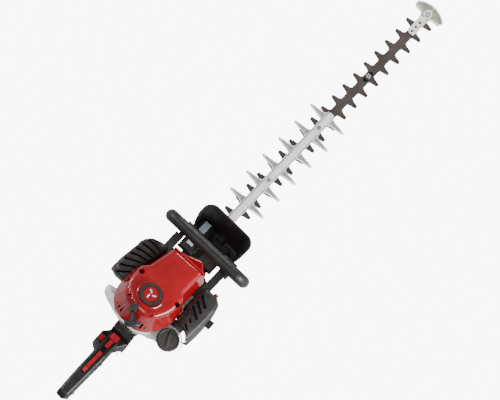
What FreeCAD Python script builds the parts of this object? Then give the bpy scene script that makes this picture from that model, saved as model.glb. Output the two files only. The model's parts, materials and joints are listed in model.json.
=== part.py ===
import FreeCAD, Part
import math
import os
import Sketcher

# Double-sided petrol hedge trimmer. Millimetres. +X runs forward to the blade's tip, +Y to the left, +Z up.
# The origin lies on the resting plane, straight below the axis of the crank gear.

SIZES = {
    # gear train: a pinion on the clutch drum drives the crank gear
    "gear_module": 1.5, "gear_teeth": 60, "pinion_teeth": 12, "gear_low": 12, "gear_high": 20,
    "gear_addendum": 1.05, "pinion_addendum": 1.4, "tooth_root_gap": 0.35, "tooth_backlash": 0.22,
    "gear_shaft_r": 6, "gear_bearing_r": 14, "bearing_width": 7, "running_gap": 0.05,
    "drum_shaft_r": 4, "drum_bearing_r": 11, "drum_r": 27, "drum_wall": 1.5,
    # blades, from the steel guide bar upwards
    "tooth_pitch": 30, "tooth_tip_x": 741, "tooth_count": 18, "tooth_reach": 24, "tooth_base": 9,
    "tooth_tip": 3.6, "tooth_fillet": 4.5, "blade_half": 7.75, "blade_end": 760, "blade_thick": 2,
    "blade_gap": 0.2, "guide_low": 28, "guide_thick": 3, "guide_start": 60, "guide_end": 786,
    "eccentric_throw": 8, "eccentric_r": 14, "yoke_gap": 1.75, "yoke_half_x": 24, "yoke_half_y": 30,
    "yoke_corner": 8,
    "bolt_first": 181.5, "bolt_spacing": 141, "bolt_r": 2.5, "bolt_head_r": 4.4, "bolt_head": 3.6,
    "collar_r": 4, "nut_across": 8, "tip_bolt_x": 772.5,
    # silver tooth-guard bar over the rear half of the blades
    "guard_bar_end": 502, "guard_bar_half": 8.9, "guard_bar_edge": 2.4, "guard_bar_ridge": 4.6,
    "guard_tooth_x": 488.6, "guard_tooth_pitch": 45, "guard_tooth_count": 6, "guard_tooth_reach": 41.5,
    "guard_tooth_base": 13.5, "guard_tooth_tip": 3.4, "boss_r": 6.5,
    "tip_half": 31.7, "tip_front": 793, "tip_inner": 768, "tongue_half": 6, "tongue_start": 722,
    # gearcase
    "case_r": 54, "case_inner_r": 49.5, "case_rear_r": 22, "case_wall": 5, "case_top": 60, "split": 28,
    "nose_end": 160, "nose_half": 24, "nose_top": 50, "lug_r": 6.5, "lug_circle": 59.5, "screw_r": 2.5,
    # engine on the clutch case, its crankshaft upright
    "clutch_case_r": 31.5, "clutch_case_inner": 28.5, "clutch_top": 88, "crankcase_r": 26,
    "crankcase_top": 134, "crank_throw": 14, "web_r": 19, "cylinder_z": 111, "bore_r": 16,
    "barrel_r": 20, "fin_half": 32, "fin_height": 20, "fin_count": 8, "fin_pitch": 5.6, "fin_thick": 1.8,
    "head_x": 40, "fan_r": 40, "fan_low": 140, "fan_high": 159, "fan_vanes": 16,
    "pulley_r": 27, "pulley_low": 172, "pulley_high": 180,
    # red recoil cover
    "guide_x": -92, "guide_y": 9, "rope_guide_r": 6.8, "pull_z": 196, "pull_turn": 216.87, "post_top": 163,
    "cover_low": 140, "cover_top": 204, "cover_wall": 3, "cover_taper": 9, "ring_r": 21, "ring_high": 209,
    # tank and cap
    "tank_low": 62, "tank_top": 118, "cap_x": -65, "cap_y": -73, "cap_r": 22.8, "cap_top": 126,
    "neck_r": 17, "neck_top": 121,
    # front handle loop and its plates
    "bar_x": 92, "bar_z": 187, "bar_r": 11.5, "bar_left": 77, "bar_right": -97, "bar_lean": 20,
    "loop_drop": 120, "loop_corner": 24, "foot_reach": 27,
    # rear handle
    "handle_x": -112, "handle_z": 60, "handle_half": 12, "pivot_r": 9,
    # muffler cover and air-cleaner cover, each over its side of the engine
    "side_low": 74, "side_top": 148, "side_wall": 2.5,
}

doc = FreeCAD.newDocument("hedge_trimmer")
sheet = doc.addObject("Spreadsheet::Sheet", "sizes")
for row, (alias, number) in enumerate(SIZES.items(), start=1):
    sheet.set(f"A{row}", alias)
    sheet.set(f"B{row}", str(number))
    sheet.setAlias(f"B{row}", alias)
doc.recompute()


class Size:
    """A length that carries its value and the formula over the sheet's cells that gives it."""

    def __init__(self, formula, value):
        self.formula = formula
        self.value = value

    def joined(self, sign, other, value, swapped=False):
        pair = (other, self) if swapped else (self, other)
        return Size(f"({pair[0].formula} {sign} {pair[1].formula})", value)

    def __add__(self, other):
        other = sized(other)
        return self.joined("+", other, self.value + other.value)

    def __sub__(self, other):
        other = sized(other)
        return self.joined("-", other, self.value - other.value)

    def __rsub__(self, other):
        other = sized(other)
        return self.joined("-", other, other.value - self.value, swapped=True)

    def __mul__(self, other):
        other = sized(other)
        return self.joined("*", other, self.value * other.value)

    def __truediv__(self, other):
        other = sized(other)
        return self.joined("/", other, self.value / other.value)

    def __neg__(self):
        return Size(f"(0 - {self.formula})", -self.value)

    __radd__ = __add__
    __rmul__ = __mul__


def sized(number):
    """Give a plain number the same form as a size from the sheet."""
    return number if isinstance(number, Size) else Size(f"({float(number)})", float(number))


class dim:
    """Each driving dimension of the sheet, by its alias."""


for alias, number in SIZES.items():
    setattr(dim, alias, Size(f"sizes.{alias}", float(number)))

ENGINE_X = -(dim.gear_module * (dim.gear_teeth + dim.pinion_teeth) / 2)
LOWER_BLADE_Z = dim.guide_low + dim.guide_thick + dim.blade_gap
UPPER_BLADE_Z = LOWER_BLADE_Z + dim.blade_thick + dim.blade_gap
GUARD_BAR_Z = UPPER_BLADE_Z + dim.blade_thick + dim.blade_gap
UP = FreeCAD.Vector(0, 0, 1)
SUB_PARTS = []


def bind(target, **sizes):
    """Tie properties of an object to the sheet; a double underscore stands for a dot."""
    for name, size in sizes.items():
        target.setExpression(name.replace("__", "."), sized(size).formula)
    return target


def bind_base(target, x, y, z):
    return bind(target, Placement__Base__x=x, Placement__Base__y=y, Placement__Base__z=z)


def box(x, y, z):
    """A block from three (low, high) pairs."""
    block = doc.addObject("Part::Box", "block")
    bind(block, Length=sized(x[1]) - x[0], Width=sized(y[1]) - y[0], Height=sized(z[1]) - z[0])
    return bind_base(block, x[0], y[0], z[0])


AXIS_TURNS = {
    "x": FreeCAD.Rotation(FreeCAD.Vector(0, 1, 0), 90),
    "y": FreeCAD.Rotation(FreeCAD.Vector(1, 0, 0), -90),
    "z": FreeCAD.Rotation(),
}


def rod(axis, centre, radius, low, high):
    """A cylinder along an axis; centre holds the other two coordinates in X, Y, Z order."""
    turned = doc.addObject("Part::Cylinder", "rod")
    turned.Placement = FreeCAD.Placement(FreeCAD.Vector(), AXIS_TURNS[axis])
    bind(turned, Radius=radius, Height=sized(high) - low)
    first, second = centre
    base = {"x": (low, first, second), "y": (first, low, second), "z": (first, second, low)}[axis]
    return bind_base(turned, *base)


def hexagon(axis, centre, across, low, high):
    """A six-sided prism along an axis, measured across its flats."""
    prism = doc.addObject("Part::Prism", "hexagon")
    prism.Polygon = 6
    prism.Placement = FreeCAD.Placement(FreeCAD.Vector(), AXIS_TURNS[axis])
    bind(prism, Circumradius=sized(across) / math.sqrt(3), Height=sized(high) - low)
    first, second = centre
    base = {"x": (low, first, second), "y": (first, low, second), "z": (first, second, low)}[axis]
    return bind_base(prism, *base)


def fuse(*shapes):
    joined = doc.addObject("Part::MultiFuse", "joined")
    joined.Shapes = list(shapes)
    return joined


def cut(base, *tools):
    """Take every tool out of the base."""
    left = doc.addObject("Part::Cut", "left")
    left.Base = base
    left.Tool = fuse(*tools) if len(tools) > 1 else tools[0]
    return left


def common(base, tool):
    shared = doc.addObject("Part::Common", "shared")
    shared.Base = base
    shared.Tool = tool
    return shared


def group(*shapes):
    """Several separate solids that count as one sub-part."""
    bundle = doc.addObject("Part::Compound", "bundle")
    bundle.Links = list(shapes)
    return bundle


def rounded(base, radius, chosen):
    """Fillet every edge of a finished object that the test picks."""
    doc.recompute()
    picked = [index for index, edge in enumerate(base.Shape.Edges, start=1) if chosen(edge)]
    smooth = doc.addObject("Part::Fillet", "smooth")
    smooth.Base = base
    smooth.Edges = [(index, radius.value, radius.value) for index in picked]
    return smooth


def sub_part(label, solid):
    solid.Label = label
    SUB_PARTS.append(solid)
    return solid


def new_body(name):
    return doc.addObject("PartDesign::Body", name)


def origin_item(body, role):
    return next(item for item in body.Origin.OriginFeatures if item.Role == role)


def new_sketch(body, plane, offset):
    """An empty sketch on one of the body's own planes, moved along the plane's normal."""
    drawn = body.newObject("Sketcher::SketchObject", "outline")
    drawn.AttachmentSupport = (origin_item(body, plane), [""])
    drawn.MapMode = "FlatFace"
    return bind(drawn, AttachmentOffset__Base__z=offset)


def hold_point(drawn, geometry, end, a, b):
    """Fix one end of a sketch line at a place that the sheet gives."""
    for kind, size in (("DistanceX", sized(a)), ("DistanceY", sized(b))):
        index = drawn.addConstraint(Sketcher.Constraint(kind, -1, 1, geometry, end, size.value))
        drawn.setExpression(f"Constraints[{index}]", size.formula)


def outline(body, plane, offset, corners):
    """A closed outline of straight runs through corners that the sheet holds."""
    drawn = new_sketch(body, plane, offset)
    points = [FreeCAD.Vector(sized(a).value, sized(b).value, 0) for a, b in corners]
    for index, point in enumerate(points):
        drawn.addGeometry(Part.LineSegment(point, points[(index + 1) % len(points)]), False)
    for index, (a, b) in enumerate(corners):
        following = (index + 1) % len(corners)
        drawn.addConstraint(Sketcher.Constraint("Coincident", index, 2, following, 1))
        hold_point(drawn, index, 1, a, b)
    return drawn


def circle(body, plane, offset, centre, radius):
    drawn = new_sketch(body, plane, offset)
    middle = FreeCAD.Vector(sized(centre[0]).value, sized(centre[1]).value, 0)
    drawn.addGeometry(Part.Circle(middle, UP, sized(radius).value), False)
    hold_point(drawn, 0, 3, *centre)
    index = drawn.addConstraint(Sketcher.Constraint("Radius", 0, sized(radius).value))
    drawn.setExpression(f"Constraints[{index}]", sized(radius).formula)
    return drawn


def pad(body, drawn, length, taper=0, both_ways=False):
    raised = body.newObject("PartDesign::Pad", "raised")
    raised.Profile = drawn
    bind(raised, Length=length, TaperAngle=taper)
    if both_ways:
        raised.SideType = "Symmetric"
    return raised


def pocket(body, drawn, length, taper=0, both_ways=False):
    """Cut against the sketch's normal, unless it is cut both ways."""
    sunk = body.newObject("PartDesign::Pocket", "sunk")
    sunk.Profile = drawn
    bind(sunk, Length=length, TaperAngle=taper)
    if both_ways:
        sunk.SideType = "Symmetric"
    return sunk


def repeat(body, feature, spacing, count, reversed_way=True):
    """Repeat a feature along the body's X axis, backwards unless told otherwise."""
    row_of = body.newObject("PartDesign::LinearPattern", "row_of")
    row_of.Originals = [feature]
    row_of.Direction = (origin_item(body, "X_Axis"), [""])
    row_of.Mode = "Spacing"
    row_of.Reversed = reversed_way
    bind(row_of, Offset=spacing, Occurrences=count)
    body.Tip = row_of
    return row_of


def soften(body, radius, chosen):
    """Fillet the edges of the body's last feature that the test picks."""
    doc.recompute()
    last = body.Tip
    picked = [f"Edge{index}" for index, edge in enumerate(last.Shape.Edges, start=1) if chosen(edge)]
    fillet = body.newObject("PartDesign::Fillet", "softened")
    fillet.Base = (last, picked)
    return bind(fillet, Radius=radius)


def upright(edge):
    """Whether an edge runs straight up."""
    ends = edge.Vertexes
    if len(ends) != 2 or edge.Curve.TypeId != "Part::GeomLine":
        return False
    return abs(ends[0].Z - ends[1].Z) > 0.9 * edge.Length


def at_height(z):
    """A test for edges that lie flat at one height."""
    return lambda edge: all(abs(corner.Z - z.value) < 0.01 for corner in edge.Vertexes)


# ---------------------------------------------------------------- gear train

def involute_gear(label, teeth, addendum, dedendum, phase, low, high):
    """A spur gear with true involute flanks; phase turns its first tooth, in radians."""
    module = dim.gear_module.value
    count = int(teeth.value)
    pitch_r = module * count / 2
    base_r = pitch_r * math.cos(math.radians(20))
    tip_r = pitch_r + addendum
    root_r = pitch_r - dedendum
    start_r = max(base_r, root_r)
    half_tooth = (math.pi * module / 2 - dim.tooth_backlash.value) / 2 / pitch_r

    def roll(radius):
        angle = math.acos(min(1, base_r / radius))
        return math.tan(angle) - angle

    def point(radius, angle):
        return FreeCAD.Vector(radius * math.cos(angle), radius * math.sin(angle), 0)

    edges = []
    radii = [start_r + (tip_r - start_r) * step / 5 for step in range(6)]
    for index in range(count):
        middle = phase + index * 2 * math.pi / count
        offsets = [half_tooth + roll(pitch_r) - roll(radius) for radius in radii]
        rising = [point(radius, middle - offset) for radius, offset in zip(radii, offsets)]
        falling = [point(radius, middle + offset) for radius, offset in zip(radii, offsets)][::-1]
        root_in = point(root_r, middle - offsets[0])
        root_out = point(root_r, middle + offsets[0])
        next_root = point(root_r, middle + 2 * math.pi / count - offsets[0])
        valley = point(root_r, middle + math.pi / count)
        if start_r > root_r + 0.01:
            edges.append(Part.LineSegment(root_in, rising[0]).toShape())
        for flank in (rising, falling):
            curve = Part.BSplineCurve()
            curve.interpolate(flank)
            edges.append(curve.toShape())
            if flank is rising:
                edges.append(Part.Arc(rising[-1], point(tip_r, middle), falling[0]).toShape())
        if start_r > root_r + 0.01:
            edges.append(Part.LineSegment(falling[-1], root_out).toShape())
        edges.append(Part.Arc(root_out, valley, next_root).toShape())
    face = Part.Face(Part.Wire(Part.__sortEdges__(edges)))
    gear = doc.addObject("Part::Feature", label)
    gear.Shape = face.extrude(UP * (high.value - low.value))
    gear.Placement = FreeCAD.Placement(UP * low.value, FreeCAD.Rotation())
    return gear


def make_crank_gear():
    """The gear, its two opposed eccentrics and its journals are one forging."""
    dedendum = dim.pinion_addendum.value + dim.tooth_root_gap.value
    gear = involute_gear("crank_gear_teeth", dim.gear_teeth, dim.gear_addendum.value, dedendum,
                         math.pi / dim.gear_teeth.value, dim.gear_low, dim.gear_high)
    middle = UPPER_BLADE_Z - dim.blade_gap / 2
    lower = rod("z", (0, -dim.eccentric_throw), dim.eccentric_r, dim.gear_high, middle)
    upper = rod("z", (0, dim.eccentric_throw), dim.eccentric_r, middle, UPPER_BLADE_Z + dim.blade_thick + 0.4)
    shaft_top = dim.case_top - dim.case_wall - 1
    shaft = rod("z", (0, 0), dim.gear_shaft_r, dim.case_wall + 0.3, shaft_top)
    hub = rod("z", (0, 0), dim.gear_shaft_r + 2.5, UPPER_BLADE_Z + dim.blade_thick + 0.4,
              shaft_top - dim.bearing_width - 0.3)
    windows = [rod("z", (30 * math.cos(turn), 30 * math.sin(turn)), 8, dim.gear_low - 1, dim.gear_high + 1)
               for turn in (0.0, math.pi)]
    sub_part("crank_gear", fuse(cut(gear, *windows), lower, upper, shaft, hub))


def bearing(x, y, inner, outer, low):
    """A plain ring the size of a ball bearing, with a groove for its seal on both faces."""
    high = low + dim.bearing_width
    ring = cut(rod("z", (x, y), outer, low, high), rod("z", (x, y), inner, low - 1, high + 1))
    middle = (sized(inner) + outer) / 2
    seal = cut(rod("z", (x, y), middle + 1.6, high - 0.5, high + 1), rod("z", (x, y), middle - 1.6, high - 1, high + 2))
    return cut(ring, seal)


def make_bearings():
    """A pair for the crank gear, a pair for the clutch drum's shaft and a pair for the crankshaft."""
    top_low = dim.case_top - dim.case_wall - dim.bearing_width - 1
    gear_bore = dim.gear_shaft_r + dim.running_gap
    drum_bore = dim.drum_shaft_r + dim.running_gap
    sub_part("ball_bearings", group(
        bearing(0, 0, gear_bore, dim.gear_bearing_r, dim.case_wall),
        bearing(0, 0, gear_bore, dim.gear_bearing_r, top_low),
        bearing(ENGINE_X, 0, drum_bore, dim.drum_bearing_r, dim.case_wall),
        bearing(ENGINE_X, 0, drum_bore, dim.drum_bearing_r, top_low),
        bearing(ENGINE_X, 0, gear_bore, dim.gear_bearing_r, dim.clutch_top),
        bearing(ENGINE_X, 0, gear_bore, dim.gear_bearing_r, dim.crankcase_top - dim.bearing_width)))


def make_clutch_drum():
    """The drum, its shaft and the pinion that drives the crank gear."""
    dedendum = dim.gear_addendum.value + dim.tooth_root_gap.value
    pinion = involute_gear("pinion_teeth_ring", dim.pinion_teeth, dim.pinion_addendum.value, dedendum,
                           0.0, dim.gear_low, dim.gear_high)
    bind(pinion, Placement__Base__x=ENGINE_X)
    shaft = rod("z", (ENGINE_X, 0), dim.drum_shaft_r, dim.case_wall + 0.3, 68)
    hub = rod("z", (ENGINE_X, 0), 7, 63.5, 67)
    drum = cut(rod("z", (ENGINE_X, 0), dim.drum_r, 65, 84),
               rod("z", (ENGINE_X, 0), dim.drum_r - dim.drum_wall, 67, 85))
    sub_part("clutch_drum", fuse(pinion, shaft, hub, drum))


# ---------------------------------------------------------------- blades and bars

def bolt_places():
    return [dim.bolt_first + dim.bolt_spacing * index for index in range(4)]


def make_blade(label, low):
    """One cutting blade: teeth on both edges, long slots over the collars, a yoke for its eccentric."""
    body = new_body(label + "_body")
    half = dim.blade_half
    front = dim.blade_end
    bar = [(0, -half), (front - 8, -half), (front, -half + 5), (front, half - 5), (front - 8, half), (0, half)]
    pad(body, outline(body, "XY_Plane", low, bar), dim.blade_thick)
    yoke_x, yoke_y = dim.yoke_half_x, dim.yoke_half_y
    yoke = [(-yoke_x, -yoke_y), (yoke_x, -yoke_y), (yoke_x, yoke_y), (-yoke_x, yoke_y)]
    pad(body, outline(body, "XY_Plane", low, yoke), dim.blade_thick)
    base, tip, reach = dim.tooth_base / 2, dim.tooth_tip / 2, dim.tooth_reach
    for side, middle in ((1, dim.tooth_tip_x), (-1, dim.tooth_tip_x + dim.tooth_pitch / 2)):
        tooth = [(middle - base, (half - 1) * side), (middle - tip, (reach - 1.2) * side),
                 (middle - tip / 2, reach * side), (middle + tip / 2, reach * side),
                 (middle + tip, (reach - 1.2) * side), (middle + base, (half - 1) * side)]
        raised = pad(body, outline(body, "XY_Plane", low, tooth), dim.blade_thick)
        repeat(body, raised, dim.tooth_pitch, dim.tooth_count)
    soften(body, dim.tooth_fillet, lambda edge: upright(edge) and is_tooth_root(edge))
    soften(body, dim.yoke_corner, lambda edge: upright(edge) and is_yoke_corner(edge))
    slot_half = dim.eccentric_throw + dim.collar_r + 0.3
    slot_width = dim.collar_r + 0.15
    tools = [slot_hole(place, slot_half, slot_width) for place in bolt_places()]
    reach_y = dim.eccentric_throw
    width = dim.eccentric_r + dim.yoke_gap
    tools += [box((-width, width), (-reach_y, reach_y), (20, 40)),
              rod("z", (0, -reach_y), width, 20, 40), rod("z", (0, reach_y), width, 20, 40)]
    sub_part(label, cut(body, *tools))


def is_tooth_root(edge):
    """Whether an upright edge is in the corner between a tooth and its bar."""
    corner = edge.Vertexes[0]
    return abs(abs(corner.Y) - dim.blade_half.value) < 0.01 and corner.X > 200


def is_yoke_corner(edge):
    corner = edge.Vertexes[0]
    return abs(corner.X) < 25 and abs(abs(corner.Y) - dim.yoke_half_y.value) < 0.01


def slot_hole(middle, half_length, half_width):
    """A long hole along X, with round ends, through both blades."""
    run = half_length - half_width
    return fuse(box((middle - run, middle + run), (-half_width, half_width), (20, 40)),
                rod("z", (middle - run, 0), half_width, 20, 40),
                rod("z", (middle + run, 0), half_width, 20, 40))


def make_guide_bar():
    """The long steel bar under the blades, from the gearcase to the tip protector."""
    body = new_body("guide_bar_body")
    half = dim.blade_half
    corners = [(dim.guide_start, -half), (dim.guide_end - 8, -half), (dim.guide_end, -half + 6),
               (dim.guide_end, half - 6), (dim.guide_end - 8, half), (dim.guide_start, half)]
    pad(body, outline(body, "XY_Plane", dim.guide_low, corners), dim.guide_thick)
    holes = [rod("z", (place, 0), dim.bolt_r + 0.1, 20, 40) for place in bolt_places() + [dim.tip_bolt_x]]
    holes += [box((place - 30, place + 30), (-2, 2), (20, 40))
              for place in (dim.bolt_first + dim.bolt_spacing * 2.5, dim.bolt_first + dim.bolt_spacing * 3.5)]
    sub_part("guide_bar", cut(body, *holes))


def make_tooth_guard_bar():
    """The ridged bar over the rear half of the blades, with its long blunt teeth on both sides."""
    body = new_body("tooth_guard_body")
    half, edge, ridge = dim.guard_bar_half, dim.guard_bar_edge, dim.guard_bar_ridge
    low = GUARD_BAR_Z
    section = [(-half, low), (half, low), (half, low + edge), (half - 5, low + ridge),
               (-half + 5, low + ridge), (-half, low + edge)]
    pad(body, outline(body, "YZ_Plane", dim.guide_start, section), dim.guard_bar_end - dim.guide_start)
    base, tip, reach = dim.guard_tooth_base / 2, dim.guard_tooth_tip / 2, dim.guard_tooth_reach
    middle = dim.guard_tooth_x
    for side in (1, -1):
        tooth = [(middle - base - 3, (half - 1) * side), (middle - base, (half + 3) * side),
                 (middle - tip, (reach - 1.4) * side), (middle - tip / 2, reach * side),
                 (middle + tip / 2, reach * side), (middle + tip, (reach - 1.4) * side),
                 (middle + base, (half + 3) * side), (middle + base + 3, (half - 1) * side)]
        raised = pad(body, outline(body, "XY_Plane", low, tooth), edge + 0.6)
        repeat(body, raised, dim.guard_tooth_pitch, dim.guard_tooth_count)
        channel = [(middle - base + 2.6, (half + 3) * side), (middle - tip / 2, (reach - 6) * side),
                   (middle + tip / 2, (reach - 6) * side), (middle + base - 2.6, (half + 3) * side)]
        sunk = pocket(body, outline(body, "XY_Plane", low + edge + 0.6, channel), 1.4)
        repeat(body, sunk, dim.guard_tooth_pitch, dim.guard_tooth_count)
    bosses = [rod("z", (place, 0), dim.boss_r, low + 1, low + ridge + 1) for place in bolt_places()[:3]]
    holes = [rod("z", (place, 0), dim.bolt_r + 0.1, 30, 50) for place in bolt_places()[:3]]
    sub_part("tooth_guard_bar", cut(fuse(body, *bosses), *holes))


def screw(x, y, low, head_low, head_r, head_high):
    """A socket-head screw pointing down."""
    shank = rod("z", (x, y), dim.bolt_r, low, head_low)
    head = rod("z", (x, y), head_r, head_low, head_high)
    return cut(fuse(shank, head), hexagon("z", (x, y), 4, sized(head_high) - 2, sized(head_high) + 1))


def make_blade_fasteners():
    """Bolts through the bars, the collars the blades slide on, and the nuts below."""
    places = bolt_places()
    guard_top = GUARD_BAR_Z + dim.guard_bar_ridge + 1
    tops = [guard_top, guard_top, guard_top, GUARD_BAR_Z + 1.6]
    low = dim.guide_low - 4.5
    tip_top = GUARD_BAR_Z + 4.4
    sub_part("blade_bolts", group(*[screw(place, 0, low, top, dim.bolt_head_r, top + dim.bolt_head)
                                    for place, top in zip(places + [dim.tip_bolt_x], tops + [tip_top])]))
    collar_low = dim.guide_low + dim.guide_thick
    collars = []
    for place in places:
        collar = rod("z", (place, 0), dim.collar_r, collar_low, GUARD_BAR_Z)
        if place is places[-1]:
            collar = fuse(collar, rod("z", (place, 0), dim.boss_r, GUARD_BAR_Z, GUARD_BAR_Z + 1.6))
        collars.append(cut(collar, rod("z", (place, 0), dim.bolt_r + 0.1, 20, 50)))
    tip = rod("z", (dim.tip_bolt_x, 0), dim.collar_r, collar_low, GUARD_BAR_Z)
    collars.append(cut(tip, rod("z", (dim.tip_bolt_x, 0), dim.bolt_r + 0.1, 20, 50)))
    sub_part("blade_collars", group(*collars))
    nuts = [cut(hexagon("z", (place, 0), dim.nut_across, dim.guide_low - 4, dim.guide_low),
                rod("z", (place, 0), dim.bolt_r, 10, 40)) for place in places + [dim.tip_bolt_x]]
    sub_part("blade_nuts", group(*nuts))


def make_tip_protector():
    """The cast crescent at the blade's end: a rimmed web with a boss, and a tongue along the blade."""
    low = GUARD_BAR_Z
    half = dim.tip_half
    front_r = 46
    arc_x = dim.tip_front - front_r
    disc = rod("z", (arc_x, 0), front_r, low - 3, low + 3.4)
    keep = box((dim.tip_inner - 6, dim.tip_front + 1), (-half, half), (low - 4, low + 5))
    crescent = cut(common(disc, keep), rod("z", (arc_x - 12, 22), 33, low - 5, low + 6),
                   rod("z", (arc_x - 12, -22), 33, low - 5, low + 6))
    hollow_disc = rod("z", (arc_x, 0), front_r - 2.6, low + 1.4, low + 6)
    hollow_keep = box((dim.tip_inner - 2, dim.tip_front), (-half + 3, half - 3), (low + 1, low + 7))
    hollow = cut(common(hollow_disc, hollow_keep), rod("z", (arc_x - 12, 22), 35.4, low, low + 8),
                 rod("z", (arc_x - 12, -22), 35.4, low, low + 8), box((760, 800), (-1.2, 1.2), (low, low + 8)))
    neck = box((dim.tongue_start + 6, dim.tip_bolt_x + 6), (-dim.tongue_half, dim.tongue_half), (low, low + 3.4))
    tongue_end = rod("z", (dim.tongue_start + 6, 0), dim.tongue_half, low, low + 3.4)
    boss = rod("z", (dim.tip_bolt_x, 0), 8, low, low + 4.4)
    clearance = box((700, dim.tip_bolt_x + 2), (-40, 40), (low - 5, low))
    holes = [rod("z", (place, 0), 2.4, low - 1, low + 6) for place in (728, 739, 750)]
    holes.append(rod("z", (dim.tip_bolt_x, 0), dim.bolt_r + 0.1, low - 6, low + 8))
    seat = box((700, dim.guide_end + 0.2), (-dim.blade_half - 0.2, dim.blade_half + 0.2), (low - 8, low))
    body = fuse(cut(crescent, hollow), neck, tongue_end, boss)
    sub_part("tip_protector", cut(body, clearance, seat, *holes))


# ---------------------------------------------------------------- gearcase

def case_plan(low, high, grow):
    """The pear-shaped plan of the gearcase round both gears, drawn in or out by grow."""
    tangent_x = -46
    return fuse(rod("z", (0, 0), dim.case_r + grow, low, high),
                rod("z", (ENGINE_X, 0), dim.case_rear_r + grow, low, high),
                box((tangent_x, 0), (-28 - sized(grow), 28 + sized(grow)), (low, high)))


def lug_places():
    angles = [math.radians(angle) for angle in (40, 90, 140, 220, 270, 320)]
    return [(dim.lug_circle * math.cos(angle), dim.lug_circle * math.sin(angle)) for angle in angles]


def case_cavity(low, high):
    """Room for the crank gear, and for the pinion behind it."""
    return fuse(rod("z", (0, 0), dim.case_inner_r, low, high), rod("z", (ENGINE_X, 0), 14, low, high),
                box((ENGINE_X, 0), (-14, 14), (low, high)))


def make_gearcase():
    """The lower half carries the bars; the upper half closes it and carries the engine."""
    rear_boss = (ENGINE_X - 30, ENGINE_X)
    lower = fuse(case_plan(0, dim.split, 0),
                 box((0, dim.nose_end), (-dim.nose_half, dim.nose_half), (0, dim.split)),
                 box(rear_boss, (-20, 20), (8, dim.split)),
                 *[rod("z", place, dim.lug_r, 14, dim.split) for place in lug_places()])
    seats = [rod("z", (0, 0), dim.gear_bearing_r, dim.case_wall, dim.gear_low),
             rod("z", (ENGINE_X, 0), dim.drum_bearing_r, dim.case_wall, dim.gear_low)]
    relief = [box((62, dim.nose_end - 14), (side * 11 - 7, side * 11 + 7), (-1, 18)) for side in (-1, 1)]
    holes = [rod("z", place, dim.screw_r, 16, 30) for place in lug_places()]
    lower = cut(lower, case_cavity(dim.gear_low - 0.4, dim.split + 1), *seats, *relief, *holes)
    sub_part("gearcase_lower", rounded(lower, sized(4), at_nose_corner))
    roof = dim.case_top - dim.case_wall
    upper = fuse(case_plan(dim.split, dim.case_top, 0),
                 box((0, dim.nose_end), (-dim.nose_half, dim.nose_half), (dim.split, dim.nose_top)),
                 box(rear_boss, (-20, 20), (dim.split, 52)),
                 *[rod("z", place, dim.lug_r, dim.split, 40) for place in lug_places()])
    top_low = roof - dim.bearing_width - 1
    bosses = fuse(rod("z", (0, 0), dim.gear_bearing_r + 4, top_low, dim.case_top),
                  rod("z", (ENGINE_X, 0), dim.drum_bearing_r + 3, top_low, dim.case_top))
    side = dim.guard_bar_half + 0.2
    tunnel = box((40, dim.nose_end + 1), (-side, side), (dim.split - 1, GUARD_BAR_Z + dim.guard_bar_ridge + 0.2))
    bores = [rod("z", (0, 0), dim.gear_bearing_r, top_low - 1, roof - 1),
             rod("z", (ENGINE_X, 0), dim.drum_bearing_r, top_low - 1, roof - 1),
             rod("z", (ENGINE_X, 0), dim.drum_shaft_r + 1, roof - 3, dim.case_top + 1)]
    holes = [rod("z", place, dim.screw_r, 26, 41) for place in lug_places()]
    hollowed = cut(upper, case_cavity(dim.split - 1, roof))
    sub_part("gearcase_upper", cut(fuse(hollowed, bosses), tunnel, *bores, *holes))
    screws = [screw(x, y, 18, 40, dim.bolt_head_r, 44) for x, y in lug_places()]
    sub_part("gearcase_screws", group(*screws))


def at_nose_corner(edge):
    """The two upright corners at the front of the gearcase's nose."""
    return upright(edge) and edge.Vertexes[0].X > dim.nose_end.value - 1 and abs(edge.Vertexes[0].Y) > 20


# ---------------------------------------------------------------- engine

def make_clutch_case():
    """A round case under the engine, with slots that let the clutch's heat out."""
    shell = cut(rod("z", (ENGINE_X, 0), dim.clutch_case_r, dim.case_top, dim.clutch_top),
                rod("z", (ENGINE_X, 0), dim.clutch_case_inner, dim.case_top + 3, dim.clutch_top + 1),
                rod("z", (ENGINE_X, 0), 9, dim.case_top - 1, dim.case_top + 4))
    feet = [rod("z", (ENGINE_X + x, y), 5, dim.case_top, dim.case_top + 6)
            for x, y in ((24, 24), (24, -24), (33, 0))]
    slots = [box((ENGINE_X - 40, ENGINE_X), (y - 3, y + 3), (70, 82)) for y in (-12, 0, 12)]
    room = rod("z", (ENGINE_X, 0), dim.clutch_case_inner, dim.case_top + 3, dim.clutch_top + 1)
    sub_part("clutch_case", cut(fuse(shell, *feet), room, *slots))


def make_clutch():
    """Two shoes on the crankshaft's foot, drawn together by a ring spring."""
    outer = dim.drum_r - dim.drum_wall - 1.2
    disc = cut(rod("z", (ENGINE_X, 0), outer, 71, 81), rod("z", (ENGINE_X, 0), dim.gear_shaft_r + 4, 70, 82),
               rod("z", (ENGINE_X, 0), outer - 5, 79, 82))
    gap = box((ENGINE_X - 40, ENGINE_X + 40), (-2, 2), (70, 82))
    sub_part("clutch_shoes", cut(disc, gap))
    wire = doc.addObject("Part::Torus", "spring_ring")
    bind(wire, Radius1=outer - 7.5, Radius2=1.2)
    bind_base(wire, ENGINE_X, 0, 80.4)
    groove = cut(wire, box((ENGINE_X - 3, ENGINE_X + 3), (0, 40), (70, 90)))
    sub_part("clutch_spring", common(groove, rod("z", (ENGINE_X, 0), outer - 5.2, 79.2, 83)))


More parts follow.
